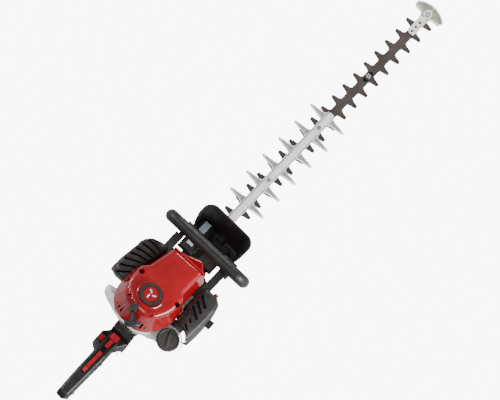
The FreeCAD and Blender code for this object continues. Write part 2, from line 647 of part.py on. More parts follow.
def make_crankcase():
    body = fuse(rod("z", (ENGINE_X, 0), dim.crankcase_r, dim.clutch_top, dim.crankcase_top),
                box((ENGINE_X, -22), (-20, 20), (92, 130)))
    room = [rod("z", (ENGINE_X, 0), dim.web_r + 1.5, 95, 127),
            rod("z", (ENGINE_X, 0), dim.gear_bearing_r, 80, 95),
            rod("z", (ENGINE_X, 0), dim.gear_bearing_r, 127, 140),
            rod("x", (0, dim.cylinder_z), dim.bore_r + 0.5, ENGINE_X, -20)]
    sub_part("crankcase", cut(body, *room))


def make_crankshaft():
    """Upright crankshaft: the clutch's hub below, two webs with the crank pin between them, fan above."""
    pin = rod("z", (ENGINE_X, dim.crank_throw), 4, 103, 119)
    sub_part("crankshaft", fuse(
        rod("z", (ENGINE_X, 0), dim.gear_shaft_r, 70, 97), rod("z", (ENGINE_X, 0), dim.web_r, 96, 104),
        pin, rod("z", (ENGINE_X, 0), dim.gear_shaft_r + 3.8, 71, 81), rod("z", (ENGINE_X, 0), dim.web_r, 118, 126), rod("z", (ENGINE_X, 0), dim.gear_shaft_r, 125, 168)))


def make_cylinder():
    """Lying forward from the crankcase, finned, with its two ports and the plug's hole."""
    z = dim.cylinder_z
    barrel = rod("x", (0, z), dim.barrel_r, -22, dim.head_x)
    fins = [box((start, start + dim.fin_thick), (-dim.fin_half, dim.fin_half), (z - dim.fin_height, z + dim.fin_height))
            for start in (-12 + dim.fin_pitch * index for index in range(int(dim.fin_count.value)))]
    ports = box((0, 22), (-34, 36), (z - 9, z + 9))
    bore = rod("x", (0, z), dim.bore_r, -23, 30)
    passages = [rod("y", (11, z), 6, -40, -10), rod("y", (11, z), 6, 10, 40)]
    plug_hole = rod("x", (0, z), 5, 29, 42)
    sub_part("cylinder", cut(fuse(barrel, ports, *fins), bore, plug_hole, *passages))


def make_piston():
    z = dim.cylinder_z
    skirt = rod("x", (0, z), dim.bore_r - 0.06, -18, 6)
    inside = rod("x", (0, z), dim.bore_r - 3, -19, 1)
    rings = [cut(rod("x", (0, z), 17, start, start + 1), rod("x", (0, z), dim.bore_r - 0.8, start - 1, start + 2))
             for start in (0.5, 3)]
    sub_part("piston", cut(skirt, inside, rod("y", (-8, z), 4, -20, 20), *rings))


def make_spark_plug():
    z = dim.cylinder_z
    thread = rod("x", (0, z), 4.9, 30.5, dim.head_x + 0.5)
    nut = hexagon("x", (0, z), 16, dim.head_x, 49)
    ceramic = rod("x", (0, z), 4.5, 49, 62)
    sub_part("spark_plug", fuse(thread, nut, ceramic, rod("x", (0, z), 2.5, 62, 68)))
    cap = fuse(rod("x", (0, z), 8, 51, 74), rod("z", (66, 0), 6, z, z + 15))
    bore = fuse(rod("x", (0, z), 4.5, 50, 62), rod("x", (0, z), 2.5, 61, 68))
    sub_part("plug_cap", cut(cap, bore))


def make_flywheel_fan():
    """The flywheel with its ring of cooling vanes, and the cup that the starter's pawl catches."""
    disc = rod("z", (ENGINE_X, 0), dim.fan_r, dim.fan_low, dim.fan_low + 3)
    hub = rod("z", (ENGINE_X, 0), 13, dim.fan_low, 161)
    vanes = []
    count = int(dim.fan_vanes.value)
    for index in range(count):
        vane = doc.addObject("Part::Box", "vane")
        bind(vane, Length=dim.fan_r - 17, Width=2, Height=dim.fan_high - dim.fan_low - 1)
        turn = 360 * index / count
        start = FreeCAD.Rotation(UP, turn).multVec(FreeCAD.Vector(16, -1, 0))
        vane.Placement = FreeCAD.Placement(start, FreeCAD.Rotation(UP, turn + 12))
        bind(vane, Placement__Base__x=ENGINE_X + start.x, Placement__Base__z=dim.fan_low + 1)
        vanes.append(vane)
    rim = cut(rod("z", (ENGINE_X, 0), dim.fan_r + 0.5, 140, 146), rod("z", (ENGINE_X, 0), dim.fan_r - 3, 139, 147))
    bore = rod("z", (ENGINE_X, 0), dim.gear_shaft_r, 130, 170)
    inside = rod("z", (ENGINE_X, 0), dim.fan_r, dim.fan_low, dim.fan_high)
    trimmed = common(fuse(*vanes), inside)
    cup = cut(rod("z", (ENGINE_X, 0), 15, 160, 169.5), rod("z", (ENGINE_X, 0), 12.5, 163, 171))
    sub_part("flywheel_fan", cut(fuse(disc, hub, trimmed, rim, cup), bore))


def make_ignition_coil():
    """The coil stands in front of the flywheel, with its core's feet near the rim."""
    legs = [box((ENGINE_X + dim.fan_r + 1.2, 2), (side - 3, side + 3), (141, 147)) for side in (-12, 12)]
    block = box((-6, 12), (-18, 18), (140.5, 158))
    sub_part("ignition_coil", fuse(block, *legs))


def make_starter():
    """The rope pulley over the flywheel's cup, and its flat spiral spring."""
    pulley = rod("z", (ENGINE_X, 0), dim.pulley_r, dim.pulley_low, dim.pulley_high)
    groove = cut(rod("z", (ENGINE_X, 0), dim.pulley_r + 1, 174.5, 178.5), rod("z", (ENGINE_X, 0), 19, 174, 179))
    bore = rod("z", (ENGINE_X, 0), 5 + dim.running_gap, 170, 182)
    pawls = box((ENGINE_X + 17, ENGINE_X + 25), (-2, 2), (169, 173))
    sub_part("recoil_pulley", fuse(cut(pulley, groove, bore), pawls))
    spiral = spiral_strip(turns=5, inner=8, outer=23, thickness=0.7, low=184, high=191)
    spiral.Placement.Base = FreeCAD.Vector(ENGINE_X.value, 0, 0)
    sub_part("recoil_spring", spiral)


def spiral_strip(turns, inner, outer, thickness, low, high):
    """A flat strip wound in an even spiral, as a spline on each face."""
    steps = turns * 12

    def face_points(shift):
        points = []
        for step in range(steps + 1):
            angle = 2 * math.pi * turns * step / steps
            radius = inner + (outer - inner) * step / steps + shift
            points.append(FreeCAD.Vector(radius * math.cos(angle), radius * math.sin(angle), low))
        return points

    near, far = face_points(0), face_points(thickness)
    edges = []
    for points in (near, far):
        curve = Part.BSplineCurve()
        curve.interpolate(points)
        edges.append(curve.toShape())
    edges.append(Part.LineSegment(near[0], far[0]).toShape())
    edges.append(Part.LineSegment(near[-1], far[-1]).toShape())
    strip = doc.addObject("Part::Feature", "strip")
    strip.Shape = Part.Face(Part.Wire(Part.__sortEdges__(edges))).extrude(UP * (high - low))
    return strip


def make_starter_handle():
    """The T-shaped pull behind the cover, its stem pointing away from the rope guide."""
    grip = rounded(box((24, 37), (-15, 15), (-7.5, 7.5)), sized(4), lambda edge: True)
    stem = rod("x", (0, 0), 3.4, dim.rope_guide_r + 0.4, 28)
    collar = rod("x", (0, 0), 5, 19, 25)
    handle = fuse(grip, stem, collar)
    handle.Placement = FreeCAD.Placement(FreeCAD.Vector(), FreeCAD.Rotation(UP, dim.pull_turn.value))
    sub_part("starter_handle", bind_base(handle, dim.guide_x, dim.guide_y, dim.pull_z))
    sub_part("rope_guide", rod("z", (dim.guide_x, dim.guide_y), dim.rope_guide_r, 186, 206))


COVER_PLAN = ((-102, -15), (-102, 17), (-98, 36), (-84, 51), (-62, 61), (-18, 62.5), (-4, 51), (52, 40),
              (54, -47), (-4, -47), (-12, -56), (-42, -56), (-60, -49), (-84, -40), (-97, -26))


def scaled(points, factor):
    """The same outline drawn in towards the crankshaft's axis."""
    return [(ENGINE_X + (x - ENGINE_X.value) * factor, sized(y) * factor) for x, y in points]


def make_recoil_cover():
    """The red cover over the fan: a drafted shell, the beak over the plug, and a post for the pulley."""
    body = new_body("cover_shell")
    height = dim.cover_top - dim.cover_low
    pad(body, outline(body, "XY_Plane", dim.cover_low, scaled(COVER_PLAN, 1.0)), height, taper=-dim.cover_taper)
    soften(body, 9, lambda edge: abs(edge.Vertexes[0].Z - edge.Vertexes[-1].Z) > 30)
    soften(body, 7, at_height(dim.cover_top))
    inner = new_body("cover_room")
    pad(inner, outline(inner, "XY_Plane", dim.cover_low - 1, scaled(COVER_PLAN, 0.95)), height - dim.cover_wall + 1,
        taper=-dim.cover_taper)
    beak = new_body("cover_beak")
    pad(beak, outline(beak, "XY_Plane", 128, [(40, 37), (60, 34), (83.5, -21), (56, -46), (40, -46)]), 28, taper=-8)
    beak_room = box((30, 64), (-40, 30), (120, 152))
    tip_room = box((50, 78), (-24, 0), (120, 152))
    post = cut(rod("z", (ENGINE_X, 0), 5, dim.pulley_low, dim.cover_top - 1), rod("z", (ENGINE_X, 0), 2, 160, 190))
    ring = rod("z", (ENGINE_X, 3), dim.ring_r - 3, dim.cover_top - 2, dim.cover_top + 1.5)
    seats = [rod("z", (x, y), 5.4, 176, 220) for x, y in COVER_SCREWS]
    bosses = [rod("z", (x, y), 7, dim.post_top, dim.cover_top - 1) for x, y in COVER_SCREWS]
    holes = [rod("z", (x, y), 2.6, 140, 190) for x, y in COVER_SCREWS]
    rope_hole = rod("z", (dim.guide_x, dim.guide_y), dim.rope_guide_r + 0.1, 160, 220)
    louvres = [box((-112, -92), (y - 2, y + 2), (150, 170)) for y in (-34, -27, 24, 31, 38)]
    shell = cut(body, inner)
    nose = cut(beak, beak_room, tip_room, inner, box((20, 56), (-70, 70), (120, dim.cover_low + 0.2)))
    whole = cut(fuse(shell, nose, post, ring, *bosses), *seats, *holes, rope_hole, *louvres)
    sub_part("recoil_cover", whole)
    screws = [screw(x, y, 148, 176, 4.6, 180) for x, y in COVER_SCREWS]
    sub_part("cover_screws", group(*screws))
    sub_part("badge_ring", cut(rod("z", (ENGINE_X, 3), dim.ring_r, dim.cover_top + 1.5, dim.ring_high),
                               rod("z", (ENGINE_X, 3), dim.ring_r - 6, dim.ring_high - 1.5, 220)))


COVER_SCREWS = ((-31.5, 44), (-31.5, -44))


def make_fan_housing():
    """The black floor under the fan, which closes the cover and guides the air to the cylinder."""
    body = new_body("housing_floor")
    pad(body, outline(body, "XY_Plane", 135, scaled(COVER_PLAN, 0.97)), 4.6)
    hole = rod("z", (ENGINE_X, 0), dim.gear_shaft_r + 3, 130, 141)
    ring = cut(rod("z", (ENGINE_X, 0), dim.fan_r + 3.6, 139, 149), rod("z", (ENGINE_X, 0), dim.fan_r + 1.6, 138, 160))
    air_way = box((-14, 60), (-60, 60), (139.6, 170))
    posts = [cut(rod("z", (x, y), 6, 139, dim.post_top), rod("z", (x, y), dim.screw_r, 140, 170))
             for x, y in COVER_SCREWS]
    plate = cut(body, hole, box((-8, 30), (-24, 24), (130, 141)))
    sub_part("fan_housing", fuse(plate, cut(ring, air_way), *posts))


# ---------------------------------------------------------------- fuel, air and exhaust

TANK_PLAN = ((-99, -10), (-99, 20), (-93.5, 39), (-84, 60), (-70, 77), (-59, 77), (-56, 57), (-42, 50), (-38, 34),
             (-38, -36), (-41, -72), (-48, -86), (-60, -90), (-73, -86), (-78, -72), (-79, -50), (-88, -28))


def leaning_cut(name, high_x, high_z, low_x, low_z, left, right):
    """Everything behind a plane that leans back from (low_x, low_z) up to (high_x, high_z), between two Y values."""
    body = new_body(name)
    lean = sized(high_x - low_x) / (sized(high_z) - low_z)
    above, below = sized(high_z) + 4, sized(low_z) - 2
    corners = [(-140, below), (-140, above), (high_x + lean * 4, above), (low_x - lean * 2, below)]
    pad(body, outline(body, "XZ_Plane", -right, corners), right - left)
    return body


def make_fuel_tank():
    """A kidney-shaped tank round the back of the engine, with the filler neck on the right."""
    body = new_body("tank_body")
    height = dim.tank_top - dim.tank_low
    middle = dim.tank_low + height / 2
    pad(body, outline(body, "XY_Plane", middle, [(x, y) for x, y in TANK_PLAN]), height, both_ways=True)
    soften(body, 4, upright)
    soften(body, 6, lambda edge: at_height(dim.tank_top)(edge) or at_height(dim.tank_low)(edge))
    neck = rod("z", (dim.cap_x, dim.cap_y), dim.neck_r, dim.tank_top - 2, dim.neck_top)
    recess = [rod("z", (ENGINE_X, 0), 33, 50, 140), box((ENGINE_X, 0), (-33, 33), (50, 140))]
    under = leaning_cut("tank_under", -76, dim.tank_top, -50, dim.tank_low - 1, -100, -40)
    rooms = [rod("z", (-68, 56), 15, 66, 113), rod("z", (-55, dim.cap_y), 9, 72, 113),
             rod("z", (dim.cap_x, dim.cap_y), 13, 115, 130), rod("z", (-59, dim.cap_y), 9, 100, 120)]
    sub_part("fuel_tank", cut(fuse(cut(body, under), neck), *recess, *rooms))


def make_fuel_cap():
    """A knurled screw cap with a raised bar across it to grip."""
    x, y = dim.cap_x, dim.cap_y
    skirt = rod("z", (x, y), dim.cap_r, dim.tank_top + 0.6, dim.cap_top)
    turns = 24
    radius = dim.cap_r.value
    flutes = [rod("z", (x + math.cos(turn) * (radius + 0.8), y + math.sin(turn) * (radius + 0.8)), 1.8, 110, 130)
              for turn in (2 * math.pi * index / turns for index in range(turns))]
    room = cut(rod("z", (x, y), dim.cap_r - 2.5, 110, dim.cap_top - 3), rod("z", (x, y), 12.6, 100, 140))
    plug = rod("z", (x, y), 12.6, 115.4, dim.tank_top + 2)
    dished = cut(rod("z", (x, y), dim.cap_r - 5, dim.cap_top - 1.5, dim.cap_top + 2),
                 box((dim.cap_x - 20, dim.cap_x + 20), (dim.cap_y - 4, dim.cap_y + 4), (110, 140)))
    sub_part("fuel_cap", cut(fuse(skirt, plug), room, dished, *flutes))


def make_cap_tether():
    """A thin strap that keeps the cap on the tank, run round the neck below the cap's skirt."""
    x, y = dim.cap_x, dim.cap_y
    loop = cut(rod("z", (x, y), dim.cap_r + 5, dim.tank_top - 4, dim.tank_top - 1),
               rod("z", (x, y), dim.cap_r + 3.2, 100, 130), box((-200, dim.cap_x), (-100, -20), (100, 130)))
    strip = common(loop, box((dim.cap_x, dim.cap_x + 60), (-120, -66), (100, 130)))
    sub_part("cap_tether", strip)


def make_carburettor():
    """The insulator on the intake port, the carburettor's block and the arm the throttle cable pulls."""
    z = dim.cylinder_z
    insulator = box((-4, 26), (-42, -34), (z - 13, z + 13))
    sub_part("intake_insulator", cut(insulator, rod("y", (11, z), 6, -43, -33)))
    block = fuse(box((-6, 28), (-60, -42), (z - 15, z + 15)), rod("z", (11, -51), 9, z - 22, z - 14))
    sub_part("carburettor", cut(block, rod("y", (11, z), 7, -61, -41), rod("z", (-2, -51), 2.1, z + 8, z + 16)))
    sub_part("throttle_arm", fuse(rod("z", (-2, -51), 2, z + 9, z + 20), box((-14, 1), (-53.5, -48.5), (z + 16, z + 19))))


def make_air_cleaner():
    """The base plate on the carburettor, the filter on it, and the slotted cover with its knob."""
    z = dim.cylinder_z
    seat = rod("x", (-62, 92), 11, 45, 54)
    plate = fuse(box((-34, 42), (-64, -60), (80, 142)), box((41, 50), (-70, -52.8), (80.2, 104)), seat)
    sub_part("air_cleaner_base", cut(plate, rod("y", (11, z), 7, -66, -58), rod("y", (19, 99), 3, -66, -58),
                                     rod("x", (-62, 92), 9.3, 49, 55)))
    element = box((-32, 40), (-80, -64), (86, 136))
    sub_part("air_filter", cut(element, rod("y", (19, 99), 6, -90, -60), box((-10, 32), (-74, -63), (104, 130))))
    plan = [(-69, -58), (-66, -92), (-52, -102), (34, -103), (50, -92), (50, -56), (8, -56), (-40, -56)]
    inner_plan = [(-66, -54), (-63, -91), (-51, -99.4), (33, -100.4), (47, -90.5), (47, -50), (8, -50), (-40, -50)]
    body = new_body("cleaner_shell")
    pad(body, outline(body, "XY_Plane", dim.side_low, plan), dim.side_top - dim.side_low, taper=-3)
    behind = leaning_cut("cleaner_behind", -66, dim.side_top, -39, dim.side_low, -120, -30)
    soften(body, 5, lambda edge: is_steep(edge) and edge.Vertexes[0].Y < -80)
    soften(body, 4, at_height(dim.side_top))
    room = new_body("cleaner_room")
    pad(room, outline(room, "XY_Plane", dim.side_low + dim.side_wall, inner_plan),
        dim.side_top - dim.side_low - dim.side_wall * 2, taper=-3)
    ahead = leaning_cut("cleaner_ahead", -62, dim.side_top, -35, dim.side_low, -120, -30)
    room_ahead = cut(room, ahead)
    cap_room = fuse(rod("z", (dim.cap_x, dim.cap_y), dim.cap_r + 6, 60, 160),
                    box((-80, -36), (-110, -40), (60, dim.cap_top + 1.5)))
    slots = [slanted_slot(x, -76, 26, 4.6) for x in (-8, 5, 18)] + [slanted_slot(x, -86, 14, 4) for x in (-36, -24)]
    knob_hole = rod("y", (19, 99), 3.4, -110, -90)
    notches = fuse(box((40, 60), (-88, -45), (102, 118)), box((40, 60), (-74, -45), (79, 105)))
    sub_part("air_cleaner_cover", cut(body, behind, room_ahead, cap_room, knob_hole, notches, *slots))
    knob = fuse(rod("y", (19, 99), 8.5, -112, -103.6), rod("y", (19, 99), 3.1, -104, -66))
    flutes = [rod("y", (19 + 9 * math.cos(turn), 99 + 9 * math.sin(turn)), 1.6, -113, -103)
              for turn in (2 * math.pi * index / 10 for index in range(10))]
    sub_part("cover_knob", cut(knob, *flutes))


def slanted_slot(x, y, length, width):
    """A slot through a cover's top, leaning forward."""
    slot = doc.addObject("Part::Box", "slot")
    bind(slot, Length=width, Width=length, Height=20)
    slot.Placement = FreeCAD.Placement(FreeCAD.Vector(), FreeCAD.Rotation(UP, -25))
    return bind_base(slot, x, sized(y) - 10, dim.side_top - 8)


def is_steep(edge):
    """Whether an edge climbs most of its length."""
    ends = edge.Vertexes
    return len(ends) == 2 and abs(ends[0].Z - ends[1].Z) > 0.8 * edge.Length and edge.Length > 20


def make_choke_and_primer():
    """The red choke knob through the cover's front, and the primer bulb under it on the base plate."""
    sub_part("choke_knob", fuse(rod("x", (-80, 110), 4.6, 56, 66), rod("x", (-80, 110), 2, 44, 57),
                                box((62, 66), (-83, -77), (104, 116))))
    bulb = doc.addObject("Part::Sphere", "bulb")
    bind(bulb, Radius=9)
    bind_base(bulb, 54, -62, 92)
    front = box((54.2, 70), (-80, -40), (80, 110))
    dome = common(bulb, front)
    sub_part("primer_bulb", dome)


MUFFLER_PLAN = ((-54, 64), (-54, 86), (-46, 95), (-22, 95), (40, 90), (54, 82), (62, 64), (64, 42), (52, 41),
                (-4, 53), (-16, 64))


def make_muffler():
    """The sheet-metal silencer on the exhaust port, and the ribbed cover that keeps hands off it."""
    z = dim.cylinder_z
    can = box((-18, 40), (36, 78), (z - 25, z + 24))
    tube = rod("x", (66, z - 12), 5, 40, 52)
    can = cut(fuse(can, tube), rod("x", (66, z - 12), 4, 38, 53), rod("y", (11, z), 6, 35, 40))
    sub_part("muffler", rounded(can, sized(5), lambda edge: is_can_edge(edge)))
    body = new_body("muffler_shell")
    pad(body, outline(body, "XY_Plane", dim.side_low, MUFFLER_PLAN), dim.side_top - dim.side_low, taper=-3)
    soften(body, 6, lambda edge: is_steep(edge) and edge.Vertexes[0].Y > 70)
    soften(body, 4, is_outer_rim)
    inner_plan = [(-51, 50), (-51, 85), (-45, 92), (-22, 92), (39, 87), (52, 80), (59, 63), (61, 36), (52, 36),
                  (-4, 44), (-16, 46)]
    room = new_body("muffler_room")
    pad(room, outline(room, "XY_Plane", dim.side_low + dim.side_wall, inner_plan),
        dim.side_top - dim.side_low - dim.side_wall * 2, taper=-3)
    slots = [box((x, x + 4), (60, 84), (dim.side_top - 8, dim.side_top + 5)) for x in range(-40, 48, 11)]
    side_slots = [box((x, x + 4), (80, 100), (88, 132)) for x in range(-30, 30, 11)]
    outlet = rod("x", (66, z - 12), 8, 44, 68)
    behind = leaning_cut("muffler_behind", -54, dim.side_top, -28, dim.side_low, 30, 110)
    ahead = leaning_cut("muffler_ahead", -50.5, dim.side_top, -24.5, dim.side_low, 30, 110)
    sub_part("muffler_cover", cut(body, behind, cut(room, ahead), outlet, *slots, *side_slots))


def is_outer_rim(edge):
    """The top edges of the muffler cover's outer side."""
    return at_height(dim.side_top)(edge) and all(corner.Y > 70 for corner in edge.Vertexes)


def is_can_edge(edge):
    """The long edges of the silencer's can, away from its port and pipe."""
    return edge.Length > 30 and edge.Vertexes[0].Y > 37 and edge.Curve.TypeId == "Part::GeomLine"


# ---------------------------------------------------------------- handles and guard

def make_front_handle():
    """One bent tube: the bar across the top, a corner at each end, down to a foot on each side."""
    body = new_body("handle_tube")
    left, right, corner = dim.bar_left, dim.bar_right, dim.loop_corner
    foot_z = -dim.loop_drop
    path = new_sketch(body, "YZ_Plane", 0)
    places = [(left - dim.foot_reach, foot_z), (left - corner, foot_z), (left, foot_z + corner), (left, -corner),
              (left - corner, 0), (right + corner, 0), (right, -corner), (right, foot_z + corner),
              (right + corner, foot_z), (right + dim.foot_reach, foot_z)]
    centres = {1: (left - corner, foot_z + corner), 3: (left - corner, -corner),
               5: (right + corner, -corner), 7: (right + corner, foot_z + corner)}
    points = [FreeCAD.Vector(sized(a).value, sized(b).value, 0) for a, b in places]
    for index in range(len(points) - 1):
        start, end = points[index], points[index + 1]
        if index in centres:
            middle = FreeCAD.Vector(centres[index][0].value, centres[index][1].value, 0)
            outward = ((start - middle) + (end - middle)).normalize() * corner.value
            path.addGeometry(Part.Arc(start, middle + outward, end), False)
        else:
            path.addGeometry(Part.LineSegment(start, end), False)
    for index in range(0, len(points) - 1, 2):
        hold_point(path, index, 1, *places[index])
        hold_point(path, index, 2, *places[index + 1])
    ring = circle(body, "XZ_Plane", -(left - dim.foot_reach), (0, foot_z), dim.bar_r)
    pipe = body.newObject("PartDesign::AdditivePipe", "pipe")
    pipe.Profile = ring
    pipe.Spine = path
    body.Placement = FreeCAD.Placement(FreeCAD.Vector(), FreeCAD.Rotation(FreeCAD.Vector(0, 1, 0), -dim.bar_lean.value))
    bind_base(body, dim.bar_x, 0, dim.bar_z)
    sub_part("front_handle", body)
    return body


def foot_place():
    """Where the handle's feet end, in X and Z, from the tube's lean."""
    lean = math.radians(dim.bar_lean.value)
    return dim.bar_x + dim.loop_drop * math.sin(lean), dim.bar_z - dim.loop_drop * math.cos(lean)


def make_handle_brackets():
    """The plates that carry the handle's feet back to the gearcase's roof."""
    foot_x, foot_z = foot_place()
    left_y = dim.bar_left - dim.foot_reach
    right_y = dim.bar_right + dim.foot_reach
    pieces = []
    for inner, outer, side in ((39.5, left_y, 1), (-49, right_y, -1)):
        low, high = (inner, outer) if side > 0 else (outer, inner)
        near = sized(low) if side > 0 else sized(high)
        arm_low, arm_high = (near, near + 16) if side > 0 else (near - 16, near)
        arm = box((4, foot_x - 13), (arm_low, arm_high), (dim.case_top, dim.case_top + 7))
        web = box((40, foot_x - 13), (near if side > 0 else near - 4, near + 4 if side > 0 else near), (48, dim.case_top + 1))
        lug = box((foot_x - 14, foot_x + 12), (low, high), (dim.case_top - 6, foot_z + 10))
        pieces.append(fuse(arm, web, lug))
    sub_part("handle_brackets", group(*pieces))


def make_hand_guard():
    """The tray in front of the handle that keeps twigs off the hand, with two raised boxes in it."""
    body = new_body("guard_shell")
    outer = [(148, -64), (178, -64), (192, -44), (194, 26), (180, 48), (148, 48)]
    inner = [(140, -61), (176.5, -61), (189, -43), (191, 25), (178.5, 45), (140, 45)]
    pad(body, outline(body, "XY_Plane", 50, outer), 80, taper=-4)
    soften(body, 6, lambda edge: is_steep(edge) and edge.Vertexes[0].X > 160)
    room = new_body("guard_room")
    pad(room, outline(room, "XY_Plane", 53, inner), 80, taper=-4)
    floor = box((106, 150), (-42, 38), (50.2, 53))
    boxes = [box((106, 184), (6, 37.5), (52, 64)), box((106, 172), (-42, -6), (52, 62)),
             rod("z", (176, -14), 7, 52, 60)]
    shell = cut(body, room)
    sub_part("hand_guard", fuse(shell, floor, *boxes))
    sub_part("label_plates", group(box((151, 174), (16, 29), (64, 64.6)), box((118, 128), (16, 29), (64, 64.6))))


def make_rear_bracket():
    """The arm from the gearcase's rear, and the round stub that the rear handle turns on."""
    arm = box((-106, ENGINE_X - 30), (-20, 17), (12, 52))
    plate = box((dim.handle_x, -100.6), (-25, 17), (30, 106))
    hollow = box((-105, -90), (-15, 12), (10, 46))
    stub = rod("x", (0, dim.handle_z), dim.pivot_r, -146, dim.handle_x + 1)
    sub_part("rear_bracket", cut(fuse(arm, plate, stub), hollow))


GRIP_SIDE = ((-112.3, 92), (-140, 101), (-165, 106), (-240, 103), (-266, 98.5), (-276, 89), (-272, 78), (-253, 30),
             (-247, 16), (-236, 5), (-170, 5), (-150, 6), (-112.3, 26))
LOOP_SIDE = ((-156, 76), (-236, 76), (-247, 71), (-249, 61), (-240, 34), (-232, 22), (-170, 22), (-156, 32))


LEFT_FLARE = ((-165, 4), (-149, 27), (-125, 27), (-115, 17), (-112.3, 17), (-112.3, 4))
RIGHT_FLARE = ((-150, -4), (-143, -20), (-125, -22), (-115, -25), (-112.3, -25), (-112.3, -4))
TRIGGER_PIVOT = (-164, 86)
LOCKOUT_PIVOT = (-167, 102)


def make_rear_handle():
    """The closed-loop rear handle, as two shells that meet at its middle plane."""
    for label, side in (("rear_handle_left", 1), ("rear_handle_right", -1)):
        body = new_body(label + "_body")
        depth = dim.handle_half if side < 0 else 0
        pad(body, outline(body, "XZ_Plane", 0 if side < 0 else -dim.handle_half, GRIP_SIDE), dim.handle_half)
        pocket(body, outline(body, "XZ_Plane", 0, LOOP_SIDE), 60, both_ways=True)
        outer_y = side * dim.handle_half.value
        soften(body, 5, lambda edge: all(abs(end.Y - outer_y) < 0.01 and end.X < -113 for end in edge.Vertexes))
        flare = new_body(label + "_flare")
        plan = LEFT_FLARE if side > 0 else RIGHT_FLARE
        pad(flare, outline(flare, "XY_Plane", 36, plan), 56)
        soften(flare, 3, lambda edge: is_steep(edge) and abs(edge.Vertexes[0].Y) > 15 and edge.Vertexes[0].X < -113)
        room = [box((-236, -158), (-8, 8), (82, 99)), box((-216, -161), (-4, 4), (90, 112)),
                box((-200, -154), (-4.5, 4.5), (60, 90)), rod("x", (0, dim.handle_z), dim.pivot_r + 0.06, -150, -110),
                box((-145.4, -126), (13.6, 23.4), (85, 100)), box((-160, -112), (-4.6, 4.6), (95.5, 115)),
                box((-232, -170), (-6, 6), (10, 17)),
                rod("y", TRIGGER_PIVOT, 1.5, -11, 11), rod("y", LOCKOUT_PIVOT, 1.1, -11, 11)]
        sub_part(label, cut(fuse(body, flare), *room))
    screws = [screw_across(x, z) for x, z in ((-258, 62), (-226, 13), (-150, 14), (-138, 84))]
    sub_part("handle_screws", group(*screws))


def screw_across(x, z):
    """A round screw head on the handle's right shell."""
    side = -21 if x > -145 else -12
    return cut(rod("y", (x, z), 3.2, side - 1.6, side), hexagon("y", (x, z), 3, side - 3, side - 0.6))


def make_handle_controls():
    """Trigger, lock-out lever, stop switch and the T-shaped lever that frees the handle to turn."""
    trigger = new_body("trigger_body")
    side = [(-158, 88), (-166, 92), (-178, 88), (-196, 78), (-193, 62), (-184, 54), (-178, 58), (-174, 66), (-160, 80)]
    pad(trigger, outline(trigger, "XZ_Plane", 0, side), 8, both_ways=True)
    sub_part("throttle_trigger", cut(trigger, rod("y", TRIGGER_PIVOT, 1.56, -10, 10)))
    lever = new_body("lockout_body")
    side = [(-163, 100), (-163, 105.8), (-180, 108.4), (-206, 108.6), (-214, 106), (-214, 100), (-190, 97)]
    pad(lever, outline(lever, "XZ_Plane", 0, side), 7, both_ways=True)
    sub_part("lockout_lever", cut(lever, rod("y", LOCKOUT_PIVOT, 1.16, -10, 10)))
    switch = fuse(box((-144.6, -132), (14, 23), (85.6, 94)), box((-144.6, -141), (14, 23), (93, 96)))
    sub_part("stop_switch", switch)
    stem = box((-150, -131), (-4, 4), (97, 104))
    head = box((-132, -120), (-8, 8), (101.5, 107))
    sub_part("handle_lock_lever", fuse(stem, head))
    pins = [rod("y", TRIGGER_PIVOT, 1.5, -11, 11), rod("y", LOCKOUT_PIVOT, 1.1, -11, 11)]
    sub_part("lever_pins", group(*pins))


def check_and_write():
    """Stop on anything that failed to build, then write each sub-part to its own file."""
    doc.recompute()
    faults = [item.Label for item in doc.Objects if {"Invalid", "Error"} & set(item.State)]
    faults += [item.Label for item in SUB_PARTS if item.Shape.isNull() or not item.Shape.isValid()]
    if faults:
        raise RuntimeError("not built: " + ", ".join(faults))
    os.makedirs("parts", exist_ok=True)
    for item in SUB_PARTS:
        item.Shape.exportStep(f"parts/{item.Label}.step")
        print(f"{item.Label:22s} {len(item.Shape.Solids)} solids {item.Shape.Volume / 1000:8.1f} cm3")


def main():
    make_crank_gear()
    make_bearings()
    make_clutch_drum()
    make_blade("lower_blade", LOWER_BLADE_Z)
    make_blade("upper_blade", UPPER_BLADE_Z)
    make_guide_bar()
    make_tooth_guard_bar()
    make_blade_fasteners()
    make_tip_protector()
    make_gearcase()
    make_clutch_case()
    make_clutch()
    make_crankcase()
    make_crankshaft()
    make_cylinder()
    make_piston()
    make_spark_plug()
    make_flywheel_fan()
    make_ignition_coil()
    make_starter()
    make_starter_handle()
    make_recoil_cover()
    make_fan_housing()
    make_fuel_tank()
    make_fuel_cap()
    make_cap_tether()
    make_carburettor()
    make_air_cleaner()
    make_choke_and_primer()
    make_muffler()
    make_front_handle()
    make_handle_brackets()
    make_hand_guard()
    make_rear_bracket()
    make_rear_handle()
    make_handle_controls()
    check_and_write()


main()
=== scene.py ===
import json
import math

import bmesh
import bpy
from mathutils import Matrix, Vector


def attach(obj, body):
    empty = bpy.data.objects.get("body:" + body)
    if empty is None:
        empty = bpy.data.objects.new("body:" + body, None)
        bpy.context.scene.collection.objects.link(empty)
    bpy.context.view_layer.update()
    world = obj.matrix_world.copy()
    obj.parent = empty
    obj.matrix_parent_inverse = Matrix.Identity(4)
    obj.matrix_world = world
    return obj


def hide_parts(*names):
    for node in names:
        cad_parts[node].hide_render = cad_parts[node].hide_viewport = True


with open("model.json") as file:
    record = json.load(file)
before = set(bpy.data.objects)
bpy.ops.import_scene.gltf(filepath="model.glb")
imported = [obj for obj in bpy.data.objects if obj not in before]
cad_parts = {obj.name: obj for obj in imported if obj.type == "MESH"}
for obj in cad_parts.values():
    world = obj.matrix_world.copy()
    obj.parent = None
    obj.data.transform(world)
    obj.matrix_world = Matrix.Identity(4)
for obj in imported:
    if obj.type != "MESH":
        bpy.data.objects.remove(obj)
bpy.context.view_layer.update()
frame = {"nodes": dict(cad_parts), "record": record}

MM = 0.001


# ---------------------------------------------------------------- materials

